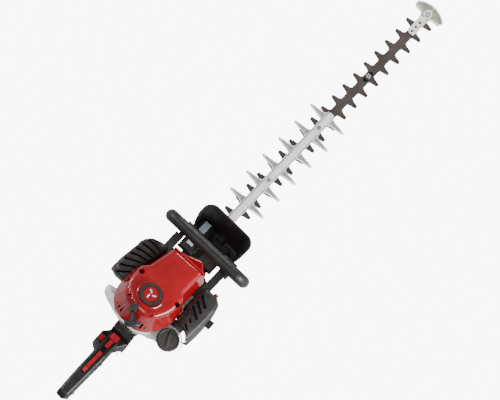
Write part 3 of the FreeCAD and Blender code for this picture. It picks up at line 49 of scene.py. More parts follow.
class Shader:
    """A principled material with helpers for procedural colour, roughness and relief."""

    def __init__(self, name, color, roughness, metallic=0.0, coat=0.0, specular=0.5):
        self.material = bpy.data.materials.new(name)
        self.material.use_nodes = True
        self.nodes = self.material.node_tree.nodes
        self.links = self.material.node_tree.links
        self.surface = self.nodes["Principled BSDF"]
        self.set("Base Color", (*color, 1.0))
        self.set("Roughness", roughness)
        self.set("Metallic", metallic)
        self.set("Coat Weight", coat)
        self.set("Specular IOR Level", specular)
        self.place = self.nodes.new("ShaderNodeTexCoord").outputs["Object"]
        self.height = None

    def set(self, socket, value):
        self.surface.inputs[socket].default_value = value

    def noise(self, scale, detail=3.0, stretch=(1, 1, 1), roughness=0.55):
        """A noise field over the object's own metres, drawn out by stretch."""
        mapping = self.nodes.new("ShaderNodeMapping")
        mapping.inputs["Scale"].default_value = stretch
        self.links.new(self.place, mapping.inputs["Vector"])
        texture = self.nodes.new("ShaderNodeTexNoise")
        texture.inputs["Scale"].default_value = scale
        texture.inputs["Detail"].default_value = detail
        texture.inputs["Roughness"].default_value = roughness
        self.links.new(mapping.outputs["Vector"], texture.inputs["Vector"])
        return texture.outputs["Fac"]

    def cells(self, scale):
        texture = self.nodes.new("ShaderNodeTexVoronoi")
        texture.inputs["Scale"].default_value = scale
        self.links.new(self.place, texture.inputs["Vector"])
        return texture.outputs["Distance"]

    def rise(self):
        """The height of a point above the resting plane."""
        split = self.nodes.new("ShaderNodeSeparateXYZ")
        self.links.new(self.place, split.inputs["Vector"])
        return split.outputs["Z"]

    def ramp(self, field, low, high, start, end):
        """Turn a field into a number between low and high as it runs from start to end."""
        remap = self.nodes.new("ShaderNodeMapRange")
        remap.inputs["From Min"].default_value = start
        remap.inputs["From Max"].default_value = end
        remap.inputs["To Min"].default_value = low
        remap.inputs["To Max"].default_value = high
        self.links.new(field, remap.inputs["Value"])
        return remap.outputs["Result"]

    def mottle(self, field, dark, light, start=0.35, end=0.65):
        """Let the base colour wander between two colours."""
        mix = self.nodes.new("ShaderNodeMix")
        mix.data_type = "RGBA"
        mix.inputs[6].default_value = (*dark, 1.0)
        mix.inputs[7].default_value = (*light, 1.0)
        self.links.new(self.ramp(field, 0.0, 1.0, start, end), mix.inputs[0])
        self.links.new(mix.outputs[2], self.surface.inputs["Base Color"])

    def gloss(self, field, low, high, start=0.3, end=0.7):
        self.links.new(self.ramp(field, low, high, start, end), self.surface.inputs["Roughness"])

    def relief(self, field, depth, strength=1.0):
        """Add a layer of bump; layers stack."""
        bump = self.nodes.new("ShaderNodeBump")
        bump.inputs["Distance"].default_value = depth
        bump.inputs["Strength"].default_value = strength
        self.links.new(field, bump.inputs["Height"])
        if self.height is not None:
            self.links.new(self.height, bump.inputs["Normal"])
        self.height = bump.outputs["Normal"]
        self.links.new(self.height, self.surface.inputs["Normal"])


def tint(color, factor):
    return tuple(channel * factor for channel in color)


def moulded(name, color, roughness, grain=1400, depth=0.05 * MM):
    """Injection-moulded plastic: fine spark grain and a faint uneven sheen."""
    shader = Shader(name, color, roughness, specular=0.4)
    shader.mottle(shader.noise(60, 4), tint(color, 0.75), tint(color, 1.35))
    shader.gloss(shader.noise(35, 3), roughness - 0.07, roughness + 0.1)
    shader.relief(shader.noise(grain, 2), depth, 0.5)
    return shader.material


def painted_red():
    color = (0.27, 0.0008, 0.0045)
    shader = Shader("red_gloss", color, 0.30, coat=0.8, specular=0.15)
    shader.set("Coat Roughness", 0.06)
    shader.mottle(shader.noise(25, 3), tint(color, 0.86), tint(color, 1.12))
    shader.gloss(shader.noise(90, 5), 0.26, 0.38)
    shader.relief(shader.noise(300, 2), 0.03 * MM, 0.35)
    return shader.material


def red_plastic():
    color = (0.27, 0.007, 0.012)
    shader = Shader("red_plastic", color, 0.34, specular=0.35)
    shader.mottle(shader.noise(80, 3), tint(color, 0.85), tint(color, 1.15))
    shader.relief(shader.noise(900, 2), 0.03 * MM, 0.5)
    return shader.material


def rubber(name, color, roughness):
    shader = Shader(name, color, roughness, specular=0.35)
    shader.mottle(shader.noise(45, 4), tint(color, 0.7), tint(color, 1.5))
    shader.gloss(shader.noise(120, 3), roughness - 0.1, roughness + 0.1)
    shader.relief(shader.cells(900), 0.08 * MM, 0.45)
    return shader.material


def cast_metal(name, color, roughness, metallic, depth=0.12 * MM):
    """A sand- or die-cast skin, with or without paint over it."""
    shader = Shader(name, color, roughness, metallic)
    shader.mottle(shader.noise(110, 5), tint(color, 0.82), tint(color, 1.15))
    shader.gloss(shader.noise(60, 4), roughness - 0.08, roughness + 0.14)
    shader.relief(shader.noise(650, 3), depth, 0.5)
    shader.relief(shader.noise(90, 2), depth * 2, 0.25)
    return shader.material


def drawn_metal(name, color, roughness, metallic, depth=0.02 * MM):
    """Rolled or ground metal: fine streaks along the machine's length, and a few stains."""
    shader = Shader(name, color, roughness, metallic)
    streaks = shader.noise(55, 5, stretch=(1, 26, 26))
    shader.mottle(shader.noise(38, 5), tint(color, 0.78), tint(color, 1.12))
    shader.gloss(streaks, roughness - 0.09, roughness + 0.13)
    shader.relief(streaks, depth, 0.6)
    return shader.material


def height_shaded_casting(name, dark, light, low, high):
    """A casting or pressing painted lighter on its high places and darker on its low ones: painted highlight
    and painted shade by height.
    """
    shader = Shader(name, light, 0.36, 0.45)
    # painted shade and painted highlight: the base colour runs from dark on low places to light on high ones,
    # by height above the floor
    shader.mottle(shader.rise(), dark, light, low * MM, high * MM)
    shader.gloss(shader.noise(70, 4), 0.28, 0.5)
    shader.relief(shader.noise(420, 3), 0.07 * MM, 0.6)
    shader.relief(shader.noise(60, 4, stretch=(1, 14, 14)), 0.05 * MM, 0.4)
    return shader.material


def tank_plastic():
    color = (0.84, 0.83, 0.79)
    shader = Shader("tank_plastic", color, 0.34)
    shader.set("Subsurface Weight", 0.45)
    shader.set("Subsurface Radius", (0.012, 0.011, 0.009))
    shader.set("Subsurface Scale", 0.6)
    shader.mottle(shader.noise(22, 3), tint(color, 0.93), tint(color, 1.04))
    shader.relief(shader.noise(500, 2), 0.04 * MM, 0.5)
    return shader.material


def foam():
    color = (0.10, 0.10, 0.095)
    shader = Shader("filter_foam", color, 0.9)
    shader.mottle(shader.cells(700), tint(color, 0.25), tint(color, 1.6), 0.1, 0.6)
    shader.relief(shader.cells(700), 0.6 * MM, 0.9)
    return shader.material


def film():
    color = (0.55, 0.66, 0.76)
    shader = Shader("label_film", color, 0.3)
    shader.mottle(shader.noise(40, 2), tint(color, 0.92), tint(color, 1.08))
    shader.relief(shader.noise(200, 2), 0.02 * MM, 0.4)
    return shader.material


LOOKS = {
    "red_cover": painted_red(),
    "black_plastic": moulded("black_plastic", (0.021, 0.0172, 0.0162), 0.38),
    "grey_plastic": moulded("grey_plastic", (0.024, 0.022, 0.0215), 0.42, grain=1100, depth=0.07 * MM),
    "handle_plastic": moulded("handle_plastic", (0.0075, 0.0075, 0.008), 0.36),
    "red_plastic": red_plastic(),
    "tank_plastic": tank_plastic(),
    "handle_rubber": rubber("handle_rubber", (0.0115, 0.0102, 0.0098), 0.44),
    "cap_plastic": moulded("cap_plastic", (0.034, 0.032, 0.031), 0.5, grain=520, depth=0.3 * MM),
    "boot_rubber": rubber("boot_rubber", (0.03, 0.03, 0.03), 0.6),
    "case_paint": cast_metal("case_paint", (0.014, 0.013, 0.0125), 0.40, 0.0),
    "cast_alloy": cast_metal("cast_alloy", (0.50, 0.50, 0.49), 0.42, 1.0),
    # silver_bar and tip_alloy carry painted shade on their low places and painted highlight on their high
    # ones
    "silver_bar": height_shaded_casting("silver_bar", (0.36, 0.335, 0.33), (0.90, 0.88, 0.875), 36.6, 38.6),
    "tip_alloy": height_shaded_casting("tip_alloy", (0.30, 0.30, 0.25), (0.86, 0.86, 0.78), 36.9, 38.9),
    "blade_steel": drawn_metal("blade_steel", (0.066, 0.052, 0.048), 0.36, 0.6),
    "bright_steel": drawn_metal("bright_steel", (0.58, 0.58, 0.58), 0.28, 1.0),
    "dark_steel": drawn_metal("dark_steel", (0.10, 0.095, 0.092), 0.4, 0.8),
    "muffler_steel": cast_metal("muffler_steel", (0.26, 0.22, 0.18), 0.45, 0.9, 0.05 * MM),
    "filter_foam": foam(),
    "label_film": film(),
}


def dress_cad_nodes():
    """Give every carried-over CAD node the material of its slot in the record."""
    for part in frame["record"]["subparts"]:
        node = frame["nodes"][part["node"]]
        for place in node.material_slots:
            place.material = LOOKS[part["material_slot"]]


# ---------------------------------------------------------------- stage

VIEW_BACK_TILT = math.radians(20.2)
VIEW_SIDE_TILT = math.radians(2.15)
VIEW_ROLL = math.radians(46.11)
VIEW_DISTANCE = 30.0
PIXELS_PER_METRE = 550.1
PICTURE_WIDTH = 500
SENSOR_WIDTH = 36.0
PICTURE_CENTRE_RIGHT = 0.178
PICTURE_CENTRE_UP = 0.1844
BLADE_HEIGHT = 0.033
CLIP_END = 100

FLOOR_SIZE = 30
FLOOR_GLOW = 9.0
WORLD_LIGHT = 0.42
LAMPS = (  # name, place, what it faces, size, power
    ("key", (-0.5, 1.5, 2.4), (0.0, 0, 0.1), (1.2, 0.5), 24),
    ("streak", (-0.1, -1.9, 0.85), (0.0, 0, 0.15), (1.5, 0.42), 95),
    ("edge", (0.1, 1.9, 0.75), (0.0, 0, 0.15), (0.9, 0.18), 20),
    ("crown", (-1.3, 0.1, 2.6), (0.1, 0, 0.1), (0.5, 1.2), 12),
    ("rim", (2.4, 0.4, 1.6), (0.3, 0, 0.05), (0.5, 1.4), 40),
)


def make_camera():
    """Look down on the tool from a little behind it, its length running up to the picture's right."""
    toward = Vector((-math.sin(VIEW_BACK_TILT) * math.cos(VIEW_SIDE_TILT),
                     -math.sin(VIEW_SIDE_TILT),
                     math.cos(VIEW_BACK_TILT) * math.cos(VIEW_SIDE_TILT)))
    forward = Vector((1, 0, 0))
    along = (forward - toward * forward.dot(toward)).normalized()
    across = toward.cross(along)
    right = along * math.cos(VIEW_ROLL) - across * math.sin(VIEW_ROLL)
    up = along * math.sin(VIEW_ROLL) + across * math.cos(VIEW_ROLL)
    target = Vector((0, 0, BLADE_HEIGHT)) + right * PICTURE_CENTRE_RIGHT + up * PICTURE_CENTRE_UP
    eye = target + toward * VIEW_DISTANCE
    data = bpy.data.cameras.new("camera")
    data.sensor_width = SENSOR_WIDTH
    data.lens = PIXELS_PER_METRE * VIEW_DISTANCE * SENSOR_WIDTH / PICTURE_WIDTH
    data.clip_end = CLIP_END
    camera = bpy.data.objects.new("camera", data)
    turn = Matrix((right, up, toward)).transposed().to_4x4()
    camera.matrix_world = Matrix.Translation(eye) @ turn
    bpy.context.scene.collection.objects.link(camera)
    bpy.context.scene.camera = camera


def area_light(name, place, target, size, power):
    data = bpy.data.lights.new(name, "AREA")
    data.shape = "RECTANGLE"
    data.size, data.size_y = size
    data.energy = power
    lamp = bpy.data.objects.new(name, data)
    lamp.location = place
    lamp.rotation_euler = (Vector(target) - Vector(place)).to_track_quat("-Z", "Y").to_euler()
    bpy.context.scene.collection.objects.link(lamp)


def make_stage():
    """A table that is white to the camera alone and a dull grey to all other light, under soft lamps."""
    bpy.ops.mesh.primitive_plane_add(size=FLOOR_SIZE, location=(0, 0, 0))
    floor = bpy.context.object
    floor.name = "floor"
    paper = Shader("floor_paper", (0.42, 0.42, 0.42), 0.85)
    paper.mottle(paper.noise(3, 2), (0.41, 0.41, 0.41), (0.43, 0.43, 0.43))
    lit = paper.nodes.new("ShaderNodeEmission")
    lit.inputs["Strength"].default_value = FLOOR_GLOW
    seen = paper.nodes.new("ShaderNodeMixShader")
    paper.links.new(paper.nodes.new("ShaderNodeLightPath").outputs["Is Camera Ray"], seen.inputs[0])
    paper.links.new(paper.surface.outputs[0], seen.inputs[1])
    paper.links.new(lit.outputs[0], seen.inputs[2])
    paper.links.new(seen.outputs[0], paper.nodes["Material Output"].inputs["Surface"])
    floor.data.materials.append(paper.material)
    world = bpy.data.worlds.new("studio")
    world.use_nodes = True
    background = world.node_tree.nodes["Background"]
    background.inputs["Color"].default_value = (1.0, 1.0, 1.0, 1.0)
    background.inputs["Strength"].default_value = WORLD_LIGHT
    bpy.context.scene.world = world
    for lamp in LAMPS:
        area_light(*lamp)


# ---------------------------------------------------------------- mesh tools, in millimetres

SMOOTH_BELOW = math.radians(32)


def signed_area(plan):
    return sum(a[0] * b[1] - b[0] * a[1] for a, b in zip(plan, plan[1:] + plan[:1])) / 2


def inset(plan, distance):
    """Move every side of a plan inwards by a distance, keeping its corners in order."""
    turn = 1 if signed_area(plan) > 0 else -1
    corners = [Vector(corner) for corner in plan]
    moved = []
    for index, corner in enumerate(corners):
        arriving = (corner - corners[index - 1]).normalized()
        leaving = (corners[(index + 1) % len(corners)] - corner).normalized()
        first = Vector((-arriving.y, arriving.x)) * turn
        second = Vector((-leaving.y, leaving.x)) * turn
        moved.append(tuple(corner + (first + second) * distance / (1 + first.dot(second))))
    return moved


def round_off(plan, radius, steps=5):
    """Turn each corner of a plan into a short curve; radius is one number or one for each corner."""
    corners = [Vector(corner) for corner in plan]
    radii = radius if isinstance(radius, (list, tuple)) else [radius] * len(corners)
    points = []
    for index, corner in enumerate(corners):
        back = corners[index - 1] - corner
        ahead = corners[(index + 1) % len(corners)] - corner
        half = back.angle(ahead) / 2
        reach = min(radii[index] / math.tan(half), 0.48 * back.length, 0.48 * ahead.length)
        start, end = corner + back.normalized() * reach, corner + ahead.normalized() * reach
        for step in range(steps + 1):
            t = step / steps
            points.append((1 - t) ** 2 * start + 2 * t * (1 - t) * corner + t ** 2 * end)
    return points


def make_mesh(name, build):
    """Run build on an empty bmesh, turn its millimetres into metres and its faces outwards."""
    bm = bmesh.new()
    build(bm)
    bmesh.ops.remove_doubles(bm, verts=bm.verts, dist=1e-4)
    bmesh.ops.recalc_face_normals(bm, faces=bm.faces)
    bmesh.ops.scale(bm, vec=(MM, MM, MM), verts=bm.verts)
    mesh = bpy.data.meshes.new(name)
    bm.to_mesh(mesh)
    bm.free()
    return mesh


def skin(bm, rings, first_closed=True, last_closed=True):
    """Join rings of points by quads, and close either end with one face."""
    loops = [[bm.verts.new(point) for point in ring] for ring in rings]
    for low, high in zip(loops, loops[1:]):
        for index in range(len(low)):
            after = (index + 1) % len(low)
            bm.faces.new((low[index], low[after], high[after], high[index]))
    if first_closed:
        bm.faces.new(reversed(loops[0]))
    if last_closed:
        bm.faces.new(loops[-1])
    return loops


def at(ring, z):
    return [(point[0], point[1], z) for point in ring]


def rectangle(left, right, near, far):
    """A plan from left to right in X and from near to far in Y."""
    return [(left, near), (right, near), (right, far), (left, far)]


def box(left, right, near, far, low, high):
    """Rings of an upright box."""
    return [at(rectangle(left, right, near, far), z) for z in (low, high)]


def mirrored(half, *middle):
    """An outline from the points of its -X half, in order, and those on the centre line."""
    return [*half, *middle, *((-x, y) for x, y in reversed(half))]


CROWN_SHARES = (0.86, 0.66, 0.42, 0.18)
SMALLEST_CORNER = 1.5


def shoulder_rings(plan, low, high, draft, shoulder, corner, crown=0.0, steps=6):
    """Rings of a drafted block with rounded top edges; crown is how far its top bulges."""
    rings = []
    corners = corner if isinstance(corner, (list, tuple)) else [corner] * len(plan)
    wall_top = high - shoulder
    spread = math.tan(math.radians(draft)) * (wall_top - low)
    levels = [(0.0, low), (spread * 0.5, (low + wall_top) / 2), (spread, wall_top)]
    for step in range(1, steps + 1):
        turn = math.radians(90 * step / steps)
        levels.append((spread + shoulder * (1 - math.cos(turn)), wall_top + shoulder * math.sin(turn)))
    for inwards, z in levels:
        radii = [max(radius - inwards * 0.7, SMALLEST_CORNER) for radius in corners]
        ring = round_off(inset(plan, inwards), radii)
        rings.append([(point.x, point.y, z) for point in ring])
    centre = sum((Vector(point) for point in rings[-1]), Vector()) / len(rings[-1])
    if crown:
        top = rings[-1]
        for share in CROWN_SHARES:
            rings.append([(centre.x + (x - centre.x) * share, centre.y + (y - centre.y) * share,
                           high + crown * (1 - share ** 2)) for x, y, _ in top])
    return rings


def block(name, *args, **sizes):
    """A closed block made of shoulder_rings."""
    return make_mesh(name, lambda bm: skin(bm, shoulder_rings(*args, **sizes)))


def shell(name, outer_rings, inner_rings):
    """A cover that is open below: an outer and an inner skin joined round their lowest rings."""
    def build(bm):
        outer = skin(bm, outer_rings, first_closed=False)
        inner = skin(bm, inner_rings, first_closed=False)
        for index in range(len(outer[0])):
            after = (index + 1) % len(outer[0])
            bm.faces.new((outer[0][after], outer[0][index], inner[0][index], inner[0][after]))
    return make_mesh(name, build)


def strip(points, width):
    """The plan of a band of some width along a run of points, its ends square."""
    path = [Vector(point) for point in points]
    left, right = [], []
    for index, point in enumerate(path):
        ahead = (path[min(index + 1, len(path) - 1)] - path[max(index - 1, 0)]).normalized()
        across = Vector((-ahead.y, ahead.x)) * width / 2
        left.append(point + across)
        right.append(point - across)
    return left + right[::-1]


def bar(points, width, low, high):
    """Rings of a band that stands from low to high."""
    plan = strip(points, width)
    return [at(plan, low), at(plan, high)]


def turned(profile, axis="Z", centre=(0, 0, 0), sides=48, flutes=None):
    """Rings of a turned shape: profile is (radius, height) pairs.

    flutes is (count, depth, smallest radius that is fluted).
    """
    rings = []
    for radius, height in profile:
        ring = []
        for index in range(sides):
            turn = math.tau * index / sides
            r = radius
            if flutes:
                count, depth, smallest = flutes
                if radius > smallest:
                    r -= depth * (0.5 - 0.5 * math.cos(turn * count)) ** 2
            a, b = r * math.cos(turn), r * math.sin(turn)
            place = {"Z": (a, b, height), "Y": (a, height, -b), "X": (height, a, b)}[axis]
            ring.append(tuple(place[k] + centre[k] for k in range(3)))
        rings.append(ring)
    return rings


def tool_mesh(name, many_rings):
    """One mesh of several closed shapes, each given as its rings."""
    def build(bm):
        for rings in many_rings:
            skin(bm, rings)
    return make_mesh(name, build)


def with_modifier(base):
    """The mesh of an object with its modifier applied; the object is removed."""
    bpy.context.view_layer.update()
    made = bpy.data.meshes.new_from_object(base.evaluated_get(bpy.context.evaluated_depsgraph_get()))
    bpy.data.objects.remove(base)
    return made


def combined(mesh, tools, operation="DIFFERENCE"):
    """Cut tools, given as rings, out of a mesh, or join them to it, one after the other."""
    for tool in tools:
        base = bpy.data.objects.new("base", mesh)
        other = bpy.data.objects.new("tool", tool_mesh("tool", [tool]))
        for item in (base, other):
            bpy.context.scene.collection.objects.link(item)
        step = base.modifiers.new("step", "BOOLEAN")
        step.operation = operation
        step.solver = "EXACT"
        step.object = other
        mesh = with_modifier(base)
        bpy.data.objects.remove(other)
    return mesh


def joined(mesh, *others):
    """Lay other meshes, or rings, into a mesh without cutting where they meet."""
    bm = bmesh.new()
    for part in (mesh, *others):
        bm.from_mesh(tool_mesh("part", [part]) if isinstance(part, list) else part)
    made = bpy.data.meshes.new(mesh.name)
    bm.to_mesh(made)
    bm.free()
    return made


def softened(mesh, width, segments=3, angle=35):
    """Round a mesh's sharp edges with a small bevel."""
    base = bpy.data.objects.new("base", mesh)
    bpy.context.scene.collection.objects.link(base)
    step = base.modifiers.new("round", "BEVEL")
    step.width = width * MM
    step.segments = segments
    step.limit_method = "ANGLE"
    step.angle_limit = math.radians(angle)
    return with_modifier(base)


def piece(name, mesh, body, slot, *stands_for, smooth=SMOOTH_BELOW, look=None):
    """Put a finished mesh in the scene, on its body, with its finish."""
    for face in mesh.polygons:
        face.use_smooth = True
    mesh.set_sharp_from_angle(angle=smooth)
    mesh.materials.clear()
    mesh.materials.append(LOOKS[look or slot])
    made = bpy.data.objects.new(name, mesh)
    bpy.context.scene.collection.objects.link(made)
    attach(made, body)
    if stands_for:
        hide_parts(*stands_for)


# ---------------------------------------------------------------- engine covers

ENGINE_X = -54
BADGE = (ENGINE_X, 3)
COVER_PLAN = [(-102, -15), (-102, 17), (-98, 36), (-84, 51), (-62, 61), (-18, 62), (-4, 50), (57, 37),
              (60, -49), (44, -48), (-4, -48), (-12, -56), (-42, -57), (-60, -53), (-84, -41), (-97, -27)]
COVER_CORNERS = [200, 200, 200, 200, 60, 16, 14, 9, 7, 60, 14, 14, 60, 200, 200, 200]
COVER_LOW, COVER_TOP = 140, 204
COVER_SCREWS = ((-31.5, 44), (-31.5, -44))
SCREW_POST_RADIUS = 6.9
SCREW_WELL = [(3.0, 150), (3.0, 176), (5.3, 176.2), (5.0, 190), (5.0, 203), (5.2, 215)]
BADGE_RING = [(26.8, 200.5), (26.4, 204.6), (25.2, 205.6)]
BADGE_SEAT = [(22.3, 204.4), (22.3, 207)]
PULL = (-92, 9)
ROPE_HOLE = [(7.2, 175), (7.2, 215)]
BEAK_PLAN = [(44, 37), (62, 33), (83, -21), (60, -46), (44, -46)]
BEAK_HOLLOW = [(30, -42), (56, -42), (76, -20), (58, 29), (30, 33)]


def make_recoil_cover():
    """The red cover: a drafted, crowned shell with its badge seat, screw wells, vents, front rib and beak."""
    outer = shoulder_rings(COVER_PLAN, COVER_LOW, COVER_TOP - 1.2, 10, 12, COVER_CORNERS, crown=1.2, steps=8)
    inner = shoulder_rings(inset(COVER_PLAN, 3), COVER_LOW, COVER_TOP - 4, 10, 9, COVER_CORNERS,
                           crown=0.8, steps=4)
    mesh = shell("recoil_cover_look", outer, inner)
    badge_ring = turned(BADGE_RING, centre=(*BADGE, 0), sides=96)
    mesh = combined(mesh, [badge_ring, front_rib(), *screw_posts()], "UNION")
    cuts = [turned(BADGE_SEAT, centre=(*BADGE, 0), sides=96)]
    cuts += [turned(SCREW_WELL, centre=(x, y, 0)) for x, y in COVER_SCREWS]
    cuts.append(turned(ROPE_HOLE, centre=(*PULL, 0)))
    cuts += vent_slots()
    mesh = joined(combined(mesh, cuts), *cover_ribs())
    piece("recoil_cover_look", mesh, "machine", "red_cover", "recoil_cover")
    beak = combined(block("beak", BEAK_PLAN, 128, 156, 6, 5, 5, steps=4),
                    [[at(BEAK_HOLLOW, z) for z in (120, 151)]])
    piece("cover_beak", softened(beak, 0.8), "machine", "red_cover")


def screw_posts():
    """The pillars that stand under the two cover screws."""
    return [turned([(SCREW_POST_RADIUS, 165), (SCREW_POST_RADIUS, 198)], centre=(x, y, 0))
            for x, y in COVER_SCREWS]


RIB_END = ((42, 199), (48, 199), (47, 203), (44, 203.4))
RIB_FULL = ((42, 199), (49, 199), (47, 204.3), (44, 204.6))


def front_rib():
    """The raised line across the cover's front edge."""
    sections = ((-41, RIB_END), (-36, RIB_FULL), (26, RIB_FULL), (31, RIB_END))
    return [[(x, y, z) for x, z in section] for y, section in sections]


WALL_VENTS_Y = (-36, -29, -22, 25, 32, 39)
WALL_VENT_HALF_WIDTH = 1.6
SHOULDER_VENTS = ((-81, 30), (-81, -24), (-58, 52), (-52, 54))
SHOULDER_VENT_WIDTH = 4.6


def vent_slots():
    """Cooling slots: low ones through the cover's rear wall, beside the pull, and four in its shoulder."""
    slots = [box(-112, -90, y - WALL_VENT_HALF_WIDTH, y + WALL_VENT_HALF_WIDTH, 150, 171)
             for y in WALL_VENTS_Y]
    slots += [bar([(x - 3, y), (x + 3, y + 1)], SHOULDER_VENT_WIDTH, 170, 215) for x, y in SHOULDER_VENTS]
    return slots


def cover_ribs():
    """Short fins round the rear of the cover's shoulder, where the air goes in."""
    return [fin(math.radians(turn)) for turn in (*range(106, 170, 7), *range(213, 228, 7))]


FIN_HALF_THICKNESS = 0.9
FIN_PROFILE = (  # how far in from the cover's edge, and height
    (4.6, 164), (8.1, 186), (9.6, 193.5), (12.6, 199.2), (17, 203.4), (21, 204.9), (21, 200),
    (14, 192), (10.5, 166))


def fin(turn):
    """A thin upright rib over the cover's shoulder, in the direction turn from the fan's axis."""
    along = Vector((math.cos(turn), math.sin(turn)))
    across = Vector((-along.y, along.x)) * FIN_HALF_THICKNESS
    centre = Vector((ENGINE_X, 0))
    edge = edge_distance(COVER_PLAN, centre, along)
    rings = []
    for side in (-1, 1):
        spots = [(centre + along * (edge - back) + across * side, z) for back, z in FIN_PROFILE]
        rings.append([(spot.x, spot.y, z) for spot, z in spots])
    return rings


def edge_distance(plan, centre, along):
    """How far a ray from centre runs before it leaves a plan."""
    for index, corner in enumerate(plan):
        start, end = Vector(plan[index - 1]) - centre, Vector(corner) - centre
        side = end - start
        cross = along.x * side.y - along.y * side.x
        if abs(cross) > 1e-9:
            reach = (start.x * side.y - start.y * side.x) / cross
            share = (start.x * along.y - start.y * along.x) / cross
            if reach > 0 and 0 <= share <= 1:
                return reach
    return 0.0


BADGE_CENTRE = [(14.7, 206.9), (14.7, 207.7), (14.2, 208.1), (7, 208.25), (0.6, 208.3)]
BADGE_STROKES = 3
STROKE_RUN = ((2.6, 0), (6.0, 0.12), (9.6, 0.42))


def make_badge():
    """A plain red centre in the black ring, with a generic fan mark of three strokes."""
    x, y = BADGE
    centre = turned(BADGE_CENTRE, centre=(x, y, 0), sides=64)
    piece("badge_centre", tool_mesh("badge_centre", [centre]), "machine", "red_cover")
    strokes = []
    for index in range(BADGE_STROKES):
        turn = math.tau * index / BADGE_STROKES + 0.5
        run = [(x + math.cos(turn + bend) * radius, y + math.sin(turn + bend) * radius)
               for radius, bend in STROKE_RUN]
        strokes.append(bar(run, 2.5, 208.0, 208.7))
    piece("badge_mark", tool_mesh("badge_mark", strokes), "machine", "label_film")


MUFFLER_PLAN = [(-53, 46), (-53, 86), (-38, 94.4), (-14, 94.9), (42, 88), (56, 76), (62, 58), (63, 34),
                (40, 38), (-4, 47), (-18, 52)]
MUFFLER_SLOTS = (((-45, 81), (-38, 71), (-27, 61)), ((-31, 86), (-23, 72), (-14, 60)),
                 ((-16, 87), (-9, 74), (-1, 58)), ((-1, 86), (5, 72), (11, 52)),
                 ((14, 84), (18, 68), (21, 49)), ((28, 82), (30, 66), (31, 46)),
                 ((41, 79), (42, 62), (41, 45)))
LOUVRE_WIDTH = 2.6
SIDE_LOW, SIDE_TOP = 74, 148


def make_muffler_cover():
    """The black cover over the silencer, its top a fan of curved, blind louvres."""
    outer = shoulder_rings(MUFFLER_PLAN, SIDE_LOW, SIDE_TOP - 1, 3, 12, 14, crown=1.0, steps=8)
    inner = shoulder_rings(inset(MUFFLER_PLAN, 2.5), SIDE_LOW, SIDE_TOP - 11, 3, 9.5, 11, crown=1.0, steps=4)
    mesh = shell("muffler_cover_look", lean_rear(outer, -20), lean_rear(inner, -20))
    louvres = [bar([(x + LOUVRE_WIDTH, y) for x, y in run], LOUVRE_WIDTH, 146.2, 149.4)
               for run in MUFFLER_SLOTS]
    mesh = combined(mesh, louvres, "UNION")
    cuts = [bar(run, 3.0, 140.5, 155) for run in MUFFLER_SLOTS]
    cuts += [box(x, x + 4, 80, 110, 88, 128) for x in range(-22, 34, 9)]
    baffle = block("baffle", rectangle(-24, 36, 85, 87), 80, 134, 0, 0.5, 0.5, steps=1)
    mesh = joined(combined(mesh, cuts), baffle)
    piece("muffler_cover_look", mesh, "machine", "black_plastic", "muffler_cover")


REAR_LEAN = 0.34
REAR_LEAN_RUN = 30


def lean_rear(rings, pivot_x):
    """Slope the rear end of a side cover forwards as it goes down."""
    out = []
    for ring in rings:
        moved_ring = []
        for x, y, z in ring:
            share = min(max((pivot_x - x) / REAR_LEAN_RUN, 0), 1)
            moved_ring.append((x + share * (SIDE_TOP - z) * REAR_LEAN, y, z))
        out.append(moved_ring)
    return out


CLEANER_PLAN = [(-43, -59.5), (-60, -66), (-62, -92), (-48, -102), (-10, -104), (30, -103.6), (46, -99),
                (55, -86), (56, -51), (-2, -50.5), (-10, -59)]
CLEANER_SLOTS = (((6, -63), (-8, -86), 5.2), ((19, -64), (5, -84), 5.2), ((33, -62), (18, -83), 5.6),
                 ((-28, -76), (-36, -87), 3.6), ((-15, -76), (-21, -82), 3.6))
CAP = (-65, -73)


def make_cleaner_cover():
    """The grey cover over the air filter, with its slanted, blind slots and the bite round the filler cap."""
    outer = shoulder_rings(CLEANER_PLAN, SIDE_LOW, SIDE_TOP - 1.2, 2, 12, 12, crown=1.2, steps=8)
    inner = shoulder_rings(inset(CLEANER_PLAN, 2.5), SIDE_LOW, SIDE_TOP - 11, 2, 9.5, 9.5, crown=1.0, steps=4)
    mesh = shell("air_cleaner_cover_look", lean_rear(outer, -30), lean_rear(inner, -30))
    raised = [bar([start, end], width + 2.4, 146, 148.4) for start, end, width in CLEANER_SLOTS[:3]]
    mesh = combined(mesh, raised, "UNION")
    cuts = [bar([start, end], width, 139.5, 155) for start, end, width in CLEANER_SLOTS]
    cap_bite = turned([(28.8, 60), (28.8, 160)], centre=(*CAP, 0), sides=72)
    tank_room = box(-90, -40, -120, -40, 60, 127.5)
    knob_hole = turned([(3.5, -115), (3.5, -90)], axis="Y", centre=(19, 0, 99))
    choke_room = box(40, 64, -88, -40, 102, 118)
    front_room = box(40, 64, -74, -40, 70, 104)
    mesh = combined(mesh, [*cuts, cap_bite, tank_room, knob_hole, choke_room, front_room])
    piece("air_cleaner_cover_look", mesh, "cleaner_cover", "grey_plastic", "air_cleaner_cover")


# ---------------------------------------------------------------- tank and cap

TANK_FRONT = -38
TANK_PLAN = [(-98.5, -12), (-98.5, 20), (-93, 39), (-84, 58), (-72, 75), (-60, 75.5), (-56, 58), (-42, 50),
             (TANK_FRONT, 34), (TANK_FRONT, -36), (-44, -60), (-60, -60), (-78, -52), (-88, -34)]
TANK_LOW, TANK_TOP = 62, 118
TANK_LEAN, TANK_LEAN_RUN = 0.36, 60
SADDLE_PLAN = [(-79, -30), (-82, -60), (-74, -86), (-52, -86), (-44, -60), (-46, -30)]
SADDLE_LEAN = 0.3
NECK = [(13, 84), (17, 92), (19.4, 104), (19.8, 112), (19.2, 117), (17.6, 119.4), (17, 120.2)]
NECK_LEAN = (16, 10, 4)
NECK_SHOULDER = [(18, 100), (21.5, 108), (22.6, 114), (21.8, 117.4), (19, 118.6)]
NECK_SHOULDER_SHIFT = 6.5
CASE_HOLLOW_RADIUS = 33.2


